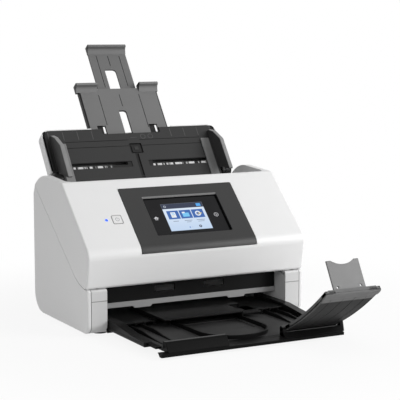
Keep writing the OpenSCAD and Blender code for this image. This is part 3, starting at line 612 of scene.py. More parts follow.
def shade(c, k):
    return tuple(min(v * k, 1.0) for v in c[:3]) + (1.0,)


def known(name):
    """A finish made before, if there is one."""
    return bpy.data.materials.get(name + "_finish")


def moulded(name, colour, rough=0.45, grain=2600.0, depth=0.12, drift=0.05, gloss=0.4):
    """Moulded plastic: spark-eroded grain, slow drift of tone, faint handling marks."""
    if known(name):
        return known(name)
    f = Finish(name)
    tone, fine, _ = f.plastic(colour, drift, grain)
    pits = f.grain(grain * 0.8)
    wipe = f.noise(95.0, 4.0, 0.65)
    return f.set(Base_Color=tone, Roughness=(wipe - 0.5) * 0.12 + (fine - 0.5) * 0.05 + rough,
                 Normal=f.bump(fine * 0.6 + pits * 0.5, depth), Specular_IOR_Level=gloss)


def brushed(name, colour, rough, along):
    """Metal drawn or brushed along one axis."""
    f = Finish(name)
    lines = f.streaks([9.0 if i == along else 420.0 for i in range(3)], 6.0, 3.0)
    spots = f.noise(120.0, 3.0)
    tone = (lines * 0.6 + spots * 0.4).mix(shade(colour, 0.86), shade(colour, 1.1))
    return f.set(Base_Color=tone, Metallic=1.0, Normal=f.bump(lines, 0.1),
                 Roughness=(lines - 0.5) * 0.16 + (spots - 0.5) * 0.1 + rough)


def rubber(name, colour):
    """Dull rubber with dust on it."""
    f = Finish(name)
    fine = f.noise(3400.0, 2.0, 0.7)
    dust = f.noise(160.0, 4.0, 0.6)
    return f.set(Base_Color=(dust.soft(0.45, 0.75) * 0.5).mix(rgb(colour), shade(colour, 1.7)),
                 Roughness=(fine - 0.5) * 0.2 + 0.78, Normal=f.bump(fine, 0.25), Specular_IOR_Level=0.3)


def board_finish():
    """Circuit board: lacquer with faint copper tracks and pads."""
    f = Finish("board_lacquer")
    brick = f.coord.node("ShaderNodeTexBrick", Vector=f.coord, Scale=220.0, Mortar_Size=0.02,
                         Color1=(0.006, 0.05, 0.022, 1), Color2=(0.01, 0.075, 0.03, 1),
                         Mortar=(0.03, 0.13, 0.06, 1))
    pads = f.grain(180.0).soft(0.16, 0.12)
    return f.set(Base_Color=pads.mix(brick, (0.45, 0.4, 0.3, 1)), Roughness=pads * -0.1 + 0.4,
                 Metallic=pads * 0.7)


def glass_finish():
    """Dark glass of the scan windows."""
    f = Finish("scan_glass")
    drift = (f.noise(70.0, 2.0) - 0.5) * 0.02
    return f.set(Base_Color=(drift + 0.5).mix((0.05, 0.065, 0.062, 1), (0.11, 0.14, 0.13, 1)),
                 Roughness=f.noise(300.0).soft(0.3, 0.8, 0.03, 0.1), Coat_Weight=1.0)


def white_finish(context):
    s = context.scene.scanner_housing
    return moulded("housing_white", s.white, 0.37, s.grain, 0.05, 0.02, 0.5)


def black_finish(context):
    return moulded("output_black", context.scene.scanner_output.black, 0.32, 2000.0, 0.08, 0.1, 0.08)


def inner_finish():
    return moulded("inner_black", grey(0.006), 0.42, 1800.0, 0.12, 0.1, 0.14)


def seen_rays(tree):
    """1 for rays from the camera, through a clear surface or off a glossy one, 0 for others."""
    path = tree.nodes.new("ShaderNodeLightPath")
    camera, clear, glossy = (Sock(tree, path.outputs["Is %s Ray" % kind])
                             for kind in ("Camera", "Transmission", "Glossy"))
    return camera.most(clear, glossy)


# ------------------------------------------------------------------ settings

def colour(name, text, value):
    return FloatVectorProperty(name=name, description=text, subtype="COLOR", size=3, min=0.0, max=1.0,
                               default=value if isinstance(value, tuple) else (value,) * 3)


def point(name, text, value):
    return FloatVectorProperty(name=name, description=text, subtype="TRANSLATION", unit="LENGTH", size=3,
                               default=value)


def number(name, text, value, **more):
    return FloatProperty(name=name, description=text, default=value, min=0.0, **more)


class ScannerHousingSettings(bpy.types.PropertyGroup):
    white: colour("Housing white", "Colour of the housing shells", 0.80)
    edge: number("Edge radius", "Radius of the housing's side edges", 0.0026, unit="LENGTH")
    grain: number("Grain", "Fineness of the moulded grain", 2600.0)
    bar_grey: colour("Exit bar grey", "Colour of the bar under the paper exit", 0.33)


class ScannerPanelSettings(bpy.types.PropertyGroup):
    grey: colour("Panel grey", "Colour of the control panel", 0.024)
    tile: colour("Tile blue", "Colour of the tiles in the display", (0.045, 0.14, 0.44))
    lamp: colour("Lamp blue", "Colour of the status lamp", (0.012, 0.1, 1.0))
    glow: number("Display glow", "Strength of the lit display", 0.92)


class ScannerTraySettings(bpy.types.PropertyGroup):
    dark: colour("Tray dark", "Colour of the tray plate", 0.024)
    guide: colour("Guide grey", "Colour of the side guides", 0.034)
    support: colour("Support grey", "Colour of the paper supports", 0.165)
    ticks: IntProperty(name="Ticks", description="Paper size ticks on each side of the plate", default=4, min=1)


class ScannerOutputSettings(bpy.types.PropertyGroup):
    black: colour("Output black", "Colour of the output tray", 0.008)
    flap: colour("Flap grey", "Colour of the stop flap", 0.026)
    stop: colour("Stop grey", "Colour of the stop plate", 0.148)
    ribs: IntProperty(name="Ribs", description="Ribs on each side of the extension", default=2, min=1)


class ScannerStageSettings(bpy.types.PropertyGroup):
    eye: point("Camera place", "Place of the camera", (-0.7441, -1.3867, 0.3540))
    target: point("Camera target", "Point at the middle of the picture", (0.05758, 0.10600, 0.13827))
    angle: number("View angle", "Angle across the picture", math.radians(17.25), subtype="ANGLE",
                  unit="ROTATION")
    floor: colour("Floor", "Colour of the floor", 0.9)
    key: number("Key lamp", "Power of the large lamp", 20.0, subtype="POWER", unit="POWER")
    sky: number("Room light", "Strength of the even light all round", 0.4)


SETTINGS = (("scanner_housing", ScannerHousingSettings), ("scanner_panel", ScannerPanelSettings),
            ("scanner_tray", ScannerTraySettings), ("scanner_output", ScannerOutputSettings),
            ("scanner_stage", ScannerStageSettings))


# ------------------------------------------------------------------ operators

class Builder:
    """What the operators share."""
    bl_options = {"REGISTER", "UNDO"}


class SCANNER_OT_base(Builder, bpy.types.Operator):
    """Housing of the base with its cheeks, and a black sheet of painted shade on the floor of the bay under the
    output tray
    """
    bl_idname = "scanner.base"
    bl_label = "Base housing"

    def execute(self, context):
        s = context.scene.scanner_housing
        edge = s.edge / MM
        side = base_outline()
        front = arc(TOE, TOE_R, 262, 180, 10) + BROW + [(4.0, 56.2)]
        shell = cut(
            prism(side, SIDE, -HALF_W, HALF_W, edge, edge, 5, seam(0)),
            prism(shrunk(side, WALL), SIDE, -HALF_W + WALL, HALF_W - WALL),
            block(SIDE, -1, 5.6, 53, 60, -GATE, GATE),
            block(SIDE, -1, -1, 2, 40, -GATE, GATE),
            block(PATH, -118, -20, 118, PATH_LEN + 12, -9, 6),
            block(PLAN, -144, 10, 144, 139, -1, 6.6),
            block(FRONT, -112, 36, 112, 138, -170, -159, 3),
            both_sides(block(SIDE, 8, 40, 40, 75, *KNUCKLE)),
            block(PATH, 127.1, 10, 135.1, 110, -6, 3),
            both_sides(prism(ribbon(front, -1.2, 1.1), SIDE, JOINT_X - JOINT_HALF, JOINT_X + JOINT_HALF)),
            both_sides(block(FRONT, 121, JOINT_Z - JOINT_HALF, 143.0, JOINT_Z + JOINT_HALF, -1.0, 1)))
        piece(shell, "base_housing", self.cheek_finish(s), "base", "base_shell")
        # painted shade: a black sheet on the white floor of the bay and its front edge, for the shade under the
        # output tray
        bay = together(block(PLAN, -122.2, 1.9, 122.2, 10.3, 5.55, 5.9),
                       block(PLAN, -122.2, 1.7, 122.2, 2.2, 3.0, 5.85))
        piece(bay, "bay_floor", black_finish(context), "base")
        return {"FINISHED"}

    def cheek_finish(self, s):
        """Housing white, greyer on the inset fronts of the cheeks, with painted shade darkening the joints round
        them.
        """
        f = Finish("base_white")
        y, z, x = f.frame(SIDE)
        side = abs(x)
        tone, fine, slow = f.plastic(s.white, 0.02, s.grain)
        inset = y.soft(16.0, 13.0).least(side.soft(143.1, 142.6), z.soft(56.5, 55.5))
        upright = abs(side - JOINT_X).soft(0.5, 0.3).least(y.soft(15.0, 13.0), z.soft(56.0, 55.0))
        across = abs(z - JOINT_Z).soft(0.5, 0.3).least(side.soft(143.0, 142.8), y.soft(2.5, 2.0))
        tone = inset.mix(tone, shade(s.white, 0.8))
        # painted shade: the joints round the cheeks' fronts are darkened towards grey
        return f.set(Base_Color=(upright.most(across) * 0.7).mix(tone, grey(0.12)),
                     Roughness=(fine - 0.5) * 0.06 + (slow - 0.5) * 0.1 + 0.38, Normal=f.bump(fine, 0.05),
                     Specular_IOR_Level=0.5)


class SCANNER_OT_cover(Builder, bpy.types.Operator):
    """Hinged front cover with its ears and the hollow behind its top edge"""
    bl_idname = "scanner.cover"
    bl_label = "Front cover"

    def execute(self, context):
        edge = context.scene.scanner_housing.edge / MM
        hollow = [(-EAR_IN, 270.0), (-EAR_IN, 78.0), (EAR_IN, 78.0), (EAR_IN, 270.0)]
        pocket = [(2.7, 52.0), (2.7, 59.0), (5.5, 64.6), (24.0, 68.0), (60.0, 84.0), (60.0, 40.0)]
        shell = cut(
            prism(cover_outline(), SIDE, -HALF_W, HALF_W, edge, edge, 5, seam(SEAM_GAP)),
            prism(rounded(hollow, [0, 11, 11, 0], 6), PLAN, 141.5, 260, 2.5),
            block(SIDE, 119, 60, 270, 260, -EAR_IN, EAR_IN),
            prism(cover_inside(False), SIDE, -ROOM, ROOM),
            prism(path_band(PATH_LEN - 59), SIDE, -ROOM, ROOM),
            both_sides(prism(cover_inside(True), SIDE, *EAR_ROOM)),
            both_sides(prism(path_band(PATH_LEN - 6), SIDE, *EAR_ROOM)),
            prism(panel_outline(5, -4.6, 0.4), SIDE, -PANEL_HALF - 0.4, PANEL_HALF + 0.4),
            both_sides(prism(pocket, SIDE, *KNUCKLE)),
            both_sides(bar(HINGE, 3.8, *KNUCKLE)),
            block(SLOPE, *about(BUTTON, 6.8), -3.6, 1, 2.2),
            prism(circle(LAMP, 1.6), SLOPE, -3.6, 1))
        knuckles = [both_sides(bar(HINGE, 4.1, a, a + 4.6, 24, 0.3)) for a in (127.0, 136.4)]
        posts = [prism(circle((x, up), 3), SLOPE, -9.4, -1) for x in (-113, 84) for up in (-34, -92)]
        piece(together(shell, *knuckles, *posts), "cover_housing", white_finish(context), "cover",
              "front_cover")
        return {"FINISHED"}


class SCANNER_OT_panel(Builder, bpy.types.Operator):
    """Control panel with its display, status lamp and power button"""
    bl_idname = "scanner.panel"
    bl_label = "Control panel"

    def execute(self, context):
        s = context.scene.scanner_panel
        low = math.radians(PANEL_LOW)
        bend = slanted(arc(BEND_C, BEND_R, PANEL_LOW, PANEL_LOW, 1)[0], math.sin(low), -math.cos(low))
        corners = []
        for face, v, up, r in ((SLOPE, -PANEL_TOP, -1, 2.5), (bend, 0.0, 1, 3.5)):
            c, beyond = (PANEL_HALF - r, v + up * r), v - up * 1.5
            pts = [(80.0, beyond), (80.0, c[1])] + arc(c, r, 0, -90 * up, 6) + [(c[0], beyond)]
            corners.append(both_sides(prism(pts, face, -6, 6)))
        u0, v0, u1, v1 = WINDOW
        steps = ((1.4, 3.4, 1.9), (0.4, 2.0, 0.6), (0.0, 1.5, 0.15), (0.0, 0.0, -1.3), (0.0, 0.0, -8.0))
        rim = [level(rectangle(u0 - a, v0 - a, u1 + a, v1 + top, 1.6), SLOPE, h) for a, top, h in steps]
        skirt = cut(block(SLOPE, u0 - 1.5, v0 - 1.5, u1 + 1.5, v1 + 1.5, -3.6, -1.7, 2.4),
                    block(SLOPE, *WINDOW, -5.0, 0.0, 1.6))
        body = prism(panel_outline(0.6, -2.0), SIDE, -PANEL_HALF, PANEL_HALF, 0.5, 0.5, 2)
        piece(together(cut(body, loft(rim), *corners), skirt), "control_panel_frame", self.panel_finish(s), "cover",
              "control_panel")

        glass = block(SLOPE, -51, -90.7, 51, -32.3, -3.6, -2.6, 1.4, 0, 0.2, 2)
        piece(glass, "display_window", self.picture(s), "cover", "display_glass")

        cap = prism(rectangle(*about(BUTTON, 6.0), 1.9, 5), SLOPE, -3.0, 0.4, 0, 0.7, 3)
        flange = block(SLOPE, *about(BUTTON, 7.5), -5.2, -3.0, 1)
        piece(together(cap, flange), "power_button_cap", self.symbol(context), "power_button",
              "power_button")

        lens = ((1.5, -9.4), (1.5, 0.02), (1.95, 0.04), (1.9, 0.14), (1.3, 0.26), (0.4, 0.3))
        lamp = Finish("lamp_blue")
        core = lamp.noise(900.0)
        lamp.set(Base_Color=core.mix(shade(s.lamp, 0.5), shade(s.lamp, 0.9)),
                 Emission_Color=core.mix(shade(s.lamp, 0.9), shade(s.lamp, 1.0)), Emission_Strength=1.1,
                 Roughness=core.soft(0.3, 0.7, 0.15, 0.3), Coat_Weight=0.6)
        piece(turned(SLOPE, LAMP, lens, 24), "status_lamp_lens", lamp.mat, "cover", "status_lamp")
        return {"FINISHED"}

    def panel_finish(self, s):
        """Panel plastic, with painted shade making the window's walls black, and pale on the bevel along its top.
        """
        f = Finish("panel_grey")
        x, up, out = f.frame(SLOPE)
        tone, fine, slow = f.plastic(s.grey, 0.05, 2400.0, 40.0)
        within = abs(x).soft(52.3, 52.0).least(up.soft(-92.0, -91.6), up.soft(-29.4, -29.8))
        # painted shade: the walls of the window's recess, below the panel's face, are black
        tone = (out.soft(0.35, 0.1) * within).mix(tone, grey(0.003))
        bevel = up.soft(-32.0, -31.6).least(out.soft(0.62, 0.45), out.soft(-1.4, -1.1)) * within
        return f.set(Base_Color=bevel.mix(tone, grey(0.17)), Normal=f.bump(fine, 0.07), Specular_IOR_Level=0.32,
                     Roughness=(slow - 0.5) * 0.1 + (fine - 0.5) * 0.05 + 0.4)

    def picture(self, s):
        """Dark display glass with a lit menu and two touch marks, all drawn in its own frame."""
        f = Finish("display_picture")
        x, up, out = f.frame(SLOPE)
        x, t = x - 1.75, up * -1.0 + 2.05

        def between(v, a, b, e):
            return v.soft(a - e, a + e).least(v.soft(b + e, b - e))

        def box(x0, x1, t0, t1, e=0.25):
            return between(x, x0, x1, e).least(between(t, t0, t1, e))

        def spot(cx, ct, r, e=0.2):
            return (x - cx).span(t - ct).soft(r + e, r - e)

        def ring(cx, ct, r, w=0.3, e=0.2):
            return abs((x - cx).span(t - ct) - r).soft(w + e, w - e)

        tiles = [box(a, a + 15.8, 54.4, 67.6) for a in (-27.2, -10.2, 6.8)]
        words = [box(a, b, 70.6, 71.5, 0.2) for a, b in ((-23.0, -15.6), (-7.6, 3.0), (9.0, 20.4))]
        words += [box(a, b, 73.0, 73.8, 0.2) for a, b in ((-5.4, 0.8), (10.4, 19.0))]
        white, sky, gold = (0.85, 0.9, 0.97), (0.2, 0.6, 0.95), (0.75, 0.6, 0.12)
        menu = t.soft(51, 86).mix((0.74, 0.84, 0.97, 1), (0.58, 0.72, 0.92, 1))
        for shape, tint in (
                (box(-31, 26, 43.4, 51.2), (0.03, 0.038, 0.075)),
                (box(17.0, 23.0, 45.2, 49.6), (0.1, 0.42, 0.9)),
                (ring(-26.5, 47.4, 1.4), (0.6, 0.66, 0.75)),
                (tiles[0].most(*tiles[1:]), s.tile),
                (box(-22.6, -16.0, 56.8, 65.2), white),
                (box(-21.4, -17.2, 58.2, 59.0, 0.15), sky),
                (box(-21.4, -17.2, 60.2, 61.0, 0.15), sky),
                (box(-21.4, -18.8, 62.2, 63.0, 0.15), gold),
                (box(-6.8, 2.2, 58.8, 65.0), sky),
                (box(-6.8, -2.8, 57.2, 59.4), white),
                (spot(14.7, 61.0, 3.9), white),
                (spot(14.7, 61.0, 2.2), s.tile),
                (box(14.2, 20.0, 60.4, 61.6), gold),
                (words[0].most(*words[1:]) * 0.75, (0.12, 0.15, 0.22)),
                (spot(-4.0, 81.6, 0.9), (0.06, 0.2, 0.6)),
                (spot(-0.6, 81.6, 0.7), (0.5, 0.6, 0.75)),
                (spot(10.6, 81.0, 2.0), (0.05, 0.06, 0.1)),
                (spot(10.6, 81.0, 0.8), (0.6, 0.7, 0.85))):
            menu = shape.mix(menu, rgb(tint))
        roof = (abs(x + 43.8) * 0.8 - (t - 61.6)).soft(0.1, -0.3).least(between(t, 61.4, 64.6, 0.15))
        house = box(-45.6, -42.0, 64.4, 67.0, 0.15).most(roof) - box(-44.7, -42.9, 64.6, 66.2, 0.15)
        marks = house.most(ring(38.7, 65.0, 2.7), spot(38.7, 63.6, 0.45), box(38.3, 39.1, 64.6, 66.8, 0.12))
        dark = f.noise(25.0).soft(0.3, 0.7).mix((0.004, 0.004, 0.005, 1), (0.007, 0.007, 0.008, 1))
        lit = box(-31, 26, 43.4, 85.8) * out.soft(-2.95, -2.85)
        return f.set(Base_Color=lit.mix((marks * 0.9).mix(dark, (0.5, 0.5, 0.52, 1)), (0.01, 0.012, 0.015, 1)),
                     Emission_Color=lit.mix((marks * 0.3).mix(grey(0.0), (0.6, 0.6, 0.62, 1)), menu),
                     Emission_Strength=s.glow, Roughness=f.noise(260.0).soft(0.3, 0.8, 0.08, 0.16),
                     Specular_IOR_Level=0.16)

    def symbol(self, context):
        """Button white with the usual on-off sign, with painted shade making its sides dark in the gap round it."""
        white = context.scene.scanner_housing.white
        f = Finish("button_white")
        x, up, out = f.frame(SLOPE)
        dx, dy = x - BUTTON[0], up - BUTTON[1]
        ring = abs(dx.span(dy) - 2.4).soft(0.48, 0.3)
        gap = abs(dx).soft(0.85, 1.05).most(dy.soft(0.3, -0.1))
        stem = abs(dx).soft(0.48, 0.3).least(dy.soft(0.0, 0.2), dy.soft(3.2, 3.0))
        sign = ring.least(gap).most(stem) * out.soft(0.2, 0.3)
        fine = f.noise(2600.0, 2.0, 0.6)
        tone = (fine * 0.4).mix(shade(white, 0.97), shade(white, 1.03))
        tone = (sign * 0.75).mix(tone, (0.28, 0.29, 0.31, 1))
        # painted shade: the button's sides below its top are dark, for the gap round it
        return f.set(Base_Color=out.soft(-0.2, -0.5).mix(tone, grey(0.04)), Roughness=(fine - 0.5) * 0.06 + 0.4,
                     Normal=f.bump(fine, 0.05))


class SCANNER_OT_input_tray(Builder, bpy.types.Operator):
    """Leaning input tray: plate with its slots and ticks, and the pale back shell"""
    bl_idname = "scanner.input_tray"
    bl_label = "Input tray"

    def execute(self, context):
        s = context.scene.scanner_tray
        dip = rounded([(-42.0, 100.0), (-42.0, 77.3), (42.0, 77.3), (42.0, 100.0)], [0, 2, 2, 0], 4)
        plate = cut(
            prism(tray_outline(123.4, 85.4, 0.0, 9.0), TRAY, -3.0, 0.0, 0.0, 0.9, 3),
            prism(dip, TRAY, -10, 10),
            both_sides(block(TRAY, 18, 29.8, 108, 34.2, -10, 10, 0.8)),
            block(TRAY, -9, 46, 9, 61.5, -1.6, 10, 2),
            block(TRAY, -4, -1, 1, 46.5, -1.6, 10),
            both_sides(block(TRAY, 8, 57.4, 98, 58.2, -0.5, 10)),
            both_sides(block(TRAY, 8, 66.4, 98, 67.2, -0.5, 10)),
            both_sides(block(TRAY, 12.0, 26.2, 112.0, 35.0, -0.7, 10, 1.0)))
        hinge = (TRAY @ Vector((0, TRAY_HINGE, 0))).yz
        bosses = [bar(hinge, 5.0, a, a + 4.2, 28, 0.4) for a in (115.0, -119.2)]
        latch = [block(TRAY, -6.2, 48.0, 6.8, 59.2, -1.6, -0.6, 1.0, 0, 0.3, 2),
                 block(TRAY, -2.6, 51.4, 3.2, 56.4, -0.7, -0.05, 0.6, 0, 0.3, 2)]
        piece(together(plate, *bosses, *latch), "tray_plate_face", self.plate_finish(s), "input_tray",
              "tray_plate")

        pale = moulded("tick_print", grey(0.085), 0.6)
        print_t = 0.04
        step = 61.0 / max(s.ticks - 1, 1)
        marks = [copies(block(TRAY, -0.3, 69.8, 0.3, 82.6, 0.0, print_t), s.ticks, a, step, pale)
                 for a in (-118.0, 57.0)]
        marks.append(block(TRAY, -4.0, 70.2, 5.0, 70.7, 0.0, print_t))
        band = ((3.6, 0.0), (3.6, print_t), (3.1, print_t), (3.1, 0.0), (3.6, 0.0))
        marks += [turned(TRAY, (x, 71.6), band, 28, caps=False) for x in (14.6, 25.6)]
        piece(together(*marks), "tray_size_marks", pale, "input_tray")

        rim = tray_outline(127.5, 87.0, 11.0, 12.0)
        shell = cut(
            prism(rim, TRAY, -16.4, -0.5, 5.0, 0.6, 5),
            prism(shrunk(rim, 1.5), TRAY, -3.1, 1.0),
            prism(shrunk(rim, WALL), TRAY, -13.8, 0.0),
            block(TRAY, -55.65, 60, 60.65, 100, -13.6, 1.0),
            both_sides(block(TRAY, 114.6, 7.5, 120.0, 19.5, -6, 0)))
        piece(shell, "tray_back_shell", self.shell_finish(context), "input_tray", "tray_shell")
        return {"FINISHED"}

    def shell_finish(self, context):
        """Housing white, with painted shade making it black on the inside behind the plate."""
        f = Finish("shell_white")
        x, up, out = f.frame(TRAY)
        tone, fine, slow = f.plastic(context.scene.scanner_housing.white, 0.02)
        # painted shade: the inside of the shell behind the plate is black
        inside = out.soft(-14.0, -13.7).least(abs(x).soft(125.2, 124.9), up.soft(84.7, 84.4))
        return f.set(Base_Color=inside.mix(tone, grey(0.004)), Roughness=(slow - 0.5) * 0.1 + 0.38,
                     Normal=f.bump(fine, 0.05), Specular_IOR_Level=0.4)

    def plate_finish(self, s):
        """Plate plastic with painted shade, black in the grooves and at the outer edges, and painted glints along
        the slots.
        """
        f = Finish("plate_dark")
        x, up, out = f.frame(TRAY)
        tone, fine, slow = f.plastic(s.dark, 0.06, 2200.0)
        # painted shade: black below the face, in grooves, slots and recesses, and at the outer edges
        tone = out.soft(-0.15, -0.4).most(abs(x).soft(118.5, 120.0)).mix(tone, grey(0.003))
        # painted glints: pale patches on the recess floor just below the slots
        slot = up.soft(26.6, 27.0).least(up.soft(29.9, 29.7), out.soft(-0.4, -0.6))
        lit = x.soft(-40.0, -44.0).most(x.soft(17.5, 18.5)).least(abs(x).soft(105.5, 104.5))
        glint = slot.least(lit) * f.streaks((260.0, 8.0, 8.0), 1.0, 2.0).soft(0.44, 0.56)
        return f.set(Base_Color=glint.mix(tone, grey(0.7)), Normal=f.bump(fine, 0.1), Specular_IOR_Level=0.28,
                     Roughness=(slow - 0.5) * 0.1 + (fine - 0.5) * 0.05 + 0.46)


class SCANNER_OT_guides(Builder, bpy.types.Operator):
    """Side guides that slide on the plate, with their racks behind it"""
    bl_idname = "scanner.guides"
    bl_label = "Side guides"

    def execute(self, context):
        finish = self.guide_finish(context.scene.scanner_tray)
        profile = rounded([(21.0, 0.4), (0.0, 26.0), (48.0, 26.0), (66.0, 15.0), (74.5, 6.0), (76.0, 0.4)],
                          [0.6, 2, 5, 5, 3, 0.6], 5)
        reach = TEETH * PITCH / (2 * math.pi) + 1.4
        back = (-6.4, -3.4)
        for name, node, up in (("left_guide_fin", "left_guide", 1), ("right_guide_fin", "right_guide", -1)):
            root, top = SLOT_S + up * reach, SLOT_S + up * (reach + 3)
            foot, tip = root + up * 0.1, root - up * 2.2
            tooth = [(-0.9, foot), (-0.4, tip), (0.4, tip), (0.9, foot)]
            guide = together(
                prism(profile, TRAY_SIDE, 112.0, 117.5, 0.7, 0.7, 3),
                block(TRAY, 98.0, 6, 113.0, 64, 0.4, 2.4, 1.2, 0, 0.6, 3),
                block(TRAY, 99.0, SLOT_S - 1.5, 106.0, SLOT_S + 1.5, -6.4, 1.4, 0.4),
                block(TRAY, 99.0, SLOT_S - up * 1.5, 106.0, top, *back, 0.4),
                block(TRAY, -8.0, root, 106.0, top, *back, 0.3),
                copies(prism(tooth, TRAY, *back), 28, -6.0, PITCH, finish))
            piece(mirrored(guide) if node == "left_guide" else guide, name, finish, node, node)
        return {"FINISHED"}

    def guide_finish(self, s):
        """Guide plastic, with painted light making the fin's front edges and the parts inboard of the fin paler."""
        f = Finish("guide_grey")
        x, up, out = f.frame(TRAY)
        fine = f.noise(2600.0, 2.0, 0.6)
        slow = f.noise(60.0, 3.0)
        # painted light: paler front edges of the fin and paler parts inboard of it, with a slow drift
        edge = out.soft(25.0, 25.8).most((up * 0.52 + out * 0.85).soft(46.2, 46.9),
                                         (up * 0.727 + out * 0.687).soft(57.4, 58.0))
        painted_light = (edge * 0.85).most(abs(x).soft(110.5, 109.0) * 0.75) * slow.soft(0.2, 0.6, 0.8, 1.0)
        return f.set(Base_Color=(painted_light + (fine - 0.5) * 0.06).mix(rgb(s.guide), grey(0.3)),
                     Roughness=(slow - 0.5) * 0.12 + 0.5, Normal=f.bump(fine, 0.12), Specular_IOR_Level=0.25)


class SCANNER_OT_supports(Builder, bpy.types.Operator):
    """Two paper supports that slide up out of the tray"""
    bl_idname = "scanner.supports"
    bl_label = "Paper supports"

    def execute(self, context):
        tone = context.scene.scanner_tray.support
        line, face, behind = 0.9, -7.0, -10.8
        walls = [block(TRAY, a, 76, a + 3, 152, -13.2, -8.0, 0.4, 0.3, 0.3, 2) for a in (-55.25, 57.25)]
        cuts = [self.window(-5.2, 80, 5.8, 117.4, 4.0, 1.5)]
        for x in (-42.0, 33.5):
            cuts.append(block(TRAY, x - 1.0, 80, x + 8.4, 94.6, -9.2, 0, 0.8))
            cuts.append(block(TRAY, x + 8.0, 80, x + 11.2, 94.4, -30, 0, 0.4))
        for x, low in ((-28.5, 95.0), (2.0, 124.0), (31.0, 90.0)):
            cuts.append(block(TRAY, x, low, x + line, 143, face - 0.6, 0))
        plate = cut(block(TRAY, -53.25, 76, 58.25, 152.5, -10.4, face, 0.8, 0.5, 0.5, 2), *cuts)
        lips = [self.lip(-face, 3.4, 158.0, a, b) for a, b in ((-59.5, -28.4), (33.0, 61.5))]
        piece(together(plate, *walls, *lips), "paper_support_plate",
              self.support_finish("support_grey", tone, face, (-59.5, 33.0)), "paper_support",
              "paper_support")

        cuts = [self.window(-6, 149, 10.3, 185.7, 5.0, 1.2)]
        for x, low in ((-13, 157), (4, 192), (21, 158)):
            cuts.append(block(TRAY, x, low, x + line, 208.6, behind - 0.6, 0))
        plate = cut(block(TRAY, -24, 145, 32, 219.6, -13.2, behind, 0.8, 0.4, 0.4, 2), *cuts)
        piece(together(plate, self.lip(-behind, 2.4, 222.6, -24.5, 32.5)), "support_extender_plate",
              self.support_finish("extender_grey", shade(tone, 0.88), behind, (-24.5,)), "support_extender",
              "support_extender")
        return {"FINISHED"}

    def window(self, x0, low, x1, top, right, left):
        """Cutter for a window with its two upper corners rounded differently."""
        pts = [(x0, low), (x1, low), (x1, top), (x0, top)]
        return prism(rounded(pts, [0.6, 0.6, right, left], 5), TRAY, -30, 0)

    def lip(self, d, thick, top, x0, x1):
        """A lip hooked towards the paper, from a support's face d behind the plate."""
        pts = [(top - 11.5, -d - thick), (top, -d - thick), (top - 0.1, 7.6 - d), (top - 3.4, 7.6 - d),
               (top - 5.0, 4 - d), (top - 7.0, 2.5 - d), (top - 11.5, -d)]
        return prism(rounded(pts, [0.3, 0.5, 0.9, 0.6, 1.6, 3.0, 0.3], 5), TRAY_SIDE, x0, x1, 0.5, 0.5, 2)

    def support_finish(self, name, colour, face, ends):
        """Support plastic: grey on the face, with painted light on the lips' front faces, painted shade under them,
        and painted shade making it black behind the face and on the lips' left ends.
        """
        f = Finish(name)
        x, _, out = f.frame(TRAY)
        tone, fine, slow = f.plastic(colour, 0.05, 2400.0, 34.0, 0.6)
        lip = out.soft(face + 7.0, face + 7.5)
        # painted light: the lips' front faces are paler
        tone = (lip * 0.5).mix(tone, shade(colour, 1.3))
        # painted shade: darker under the lips
        tone = (out.soft(face + 2.2, face + 4.6).least(1.0 - lip) * 0.6).mix(tone, shade(colour, 0.55))
        # painted shade: black behind the face and on the lips' left ends
        painted_shade = out.soft(face - 0.25, face - 0.55)
        for end in ends:
            painted_shade = painted_shade.most(abs(x - end).soft(0.55, 0.4).least(out.soft(face + 0.6, face + 1.0)))
        return f.set(Base_Color=painted_shade.mix(tone, grey(0.004)), Normal=f.bump(fine, 0.1), Specular_IOR_Level=0.3,
                     Roughness=(slow - 0.5) * 0.08 + (fine - 0.5) * 0.05 + 0.5)


class SCANNER_OT_exit(Builder, bpy.types.Operator):
    """Paper exit: dark frame with its windows and the pale bar below it"""
    bl_idname = "scanner.exit"
    bl_label = "Paper exit"

    def execute(self, context):
        low, high = 27.0, 33.2
        plate = cut(block(FRONT, -EXIT_HALF, high, EXIT_HALF, 54.5, -28.5, -26.0, 0.4, 0.2, 0.2, 2),
                    both_sides(block(FRONT, 20, 40.5, 48, 49, -40, 0, 0.8)))
        lips = both_sides(block(FRONT, 19.0, 40.0, 49.0, 41.4, -28.4, -25.4, 0.3, 0.2, 0.3, 2))
        piece(together(plate, lips), "exit_frame_plate", inner_finish(), "base", "exit_frame")
        tabs = [(-EXIT_HALF, low)]
        for a, b in ((-78, -52), (52, 78)):
            tabs += [(a, low), (a + 2.2, 24.4), (b - 2.2, 24.4), (b, low)]
        tabs += [(EXIT_HALF, low), (EXIT_HALF, high), (-EXIT_HALF, high)]
        pale = moulded("exit_bar_grey", context.scene.scanner_housing.bar_grey, 0.45, 2400.0, 0.08, 0.03)
        rail = block(FRONT, -EXIT_HALF, 27.2, EXIT_HALF, 33.0, -28.5, -25.8, 0.5)
        piece(together(prism(tabs, FRONT, -26.0, -24.0, 0.0, 0.5, 3), rail), "exit_bar_face", pale, "base",
              "exit_bar")
        return {"FINISHED"}


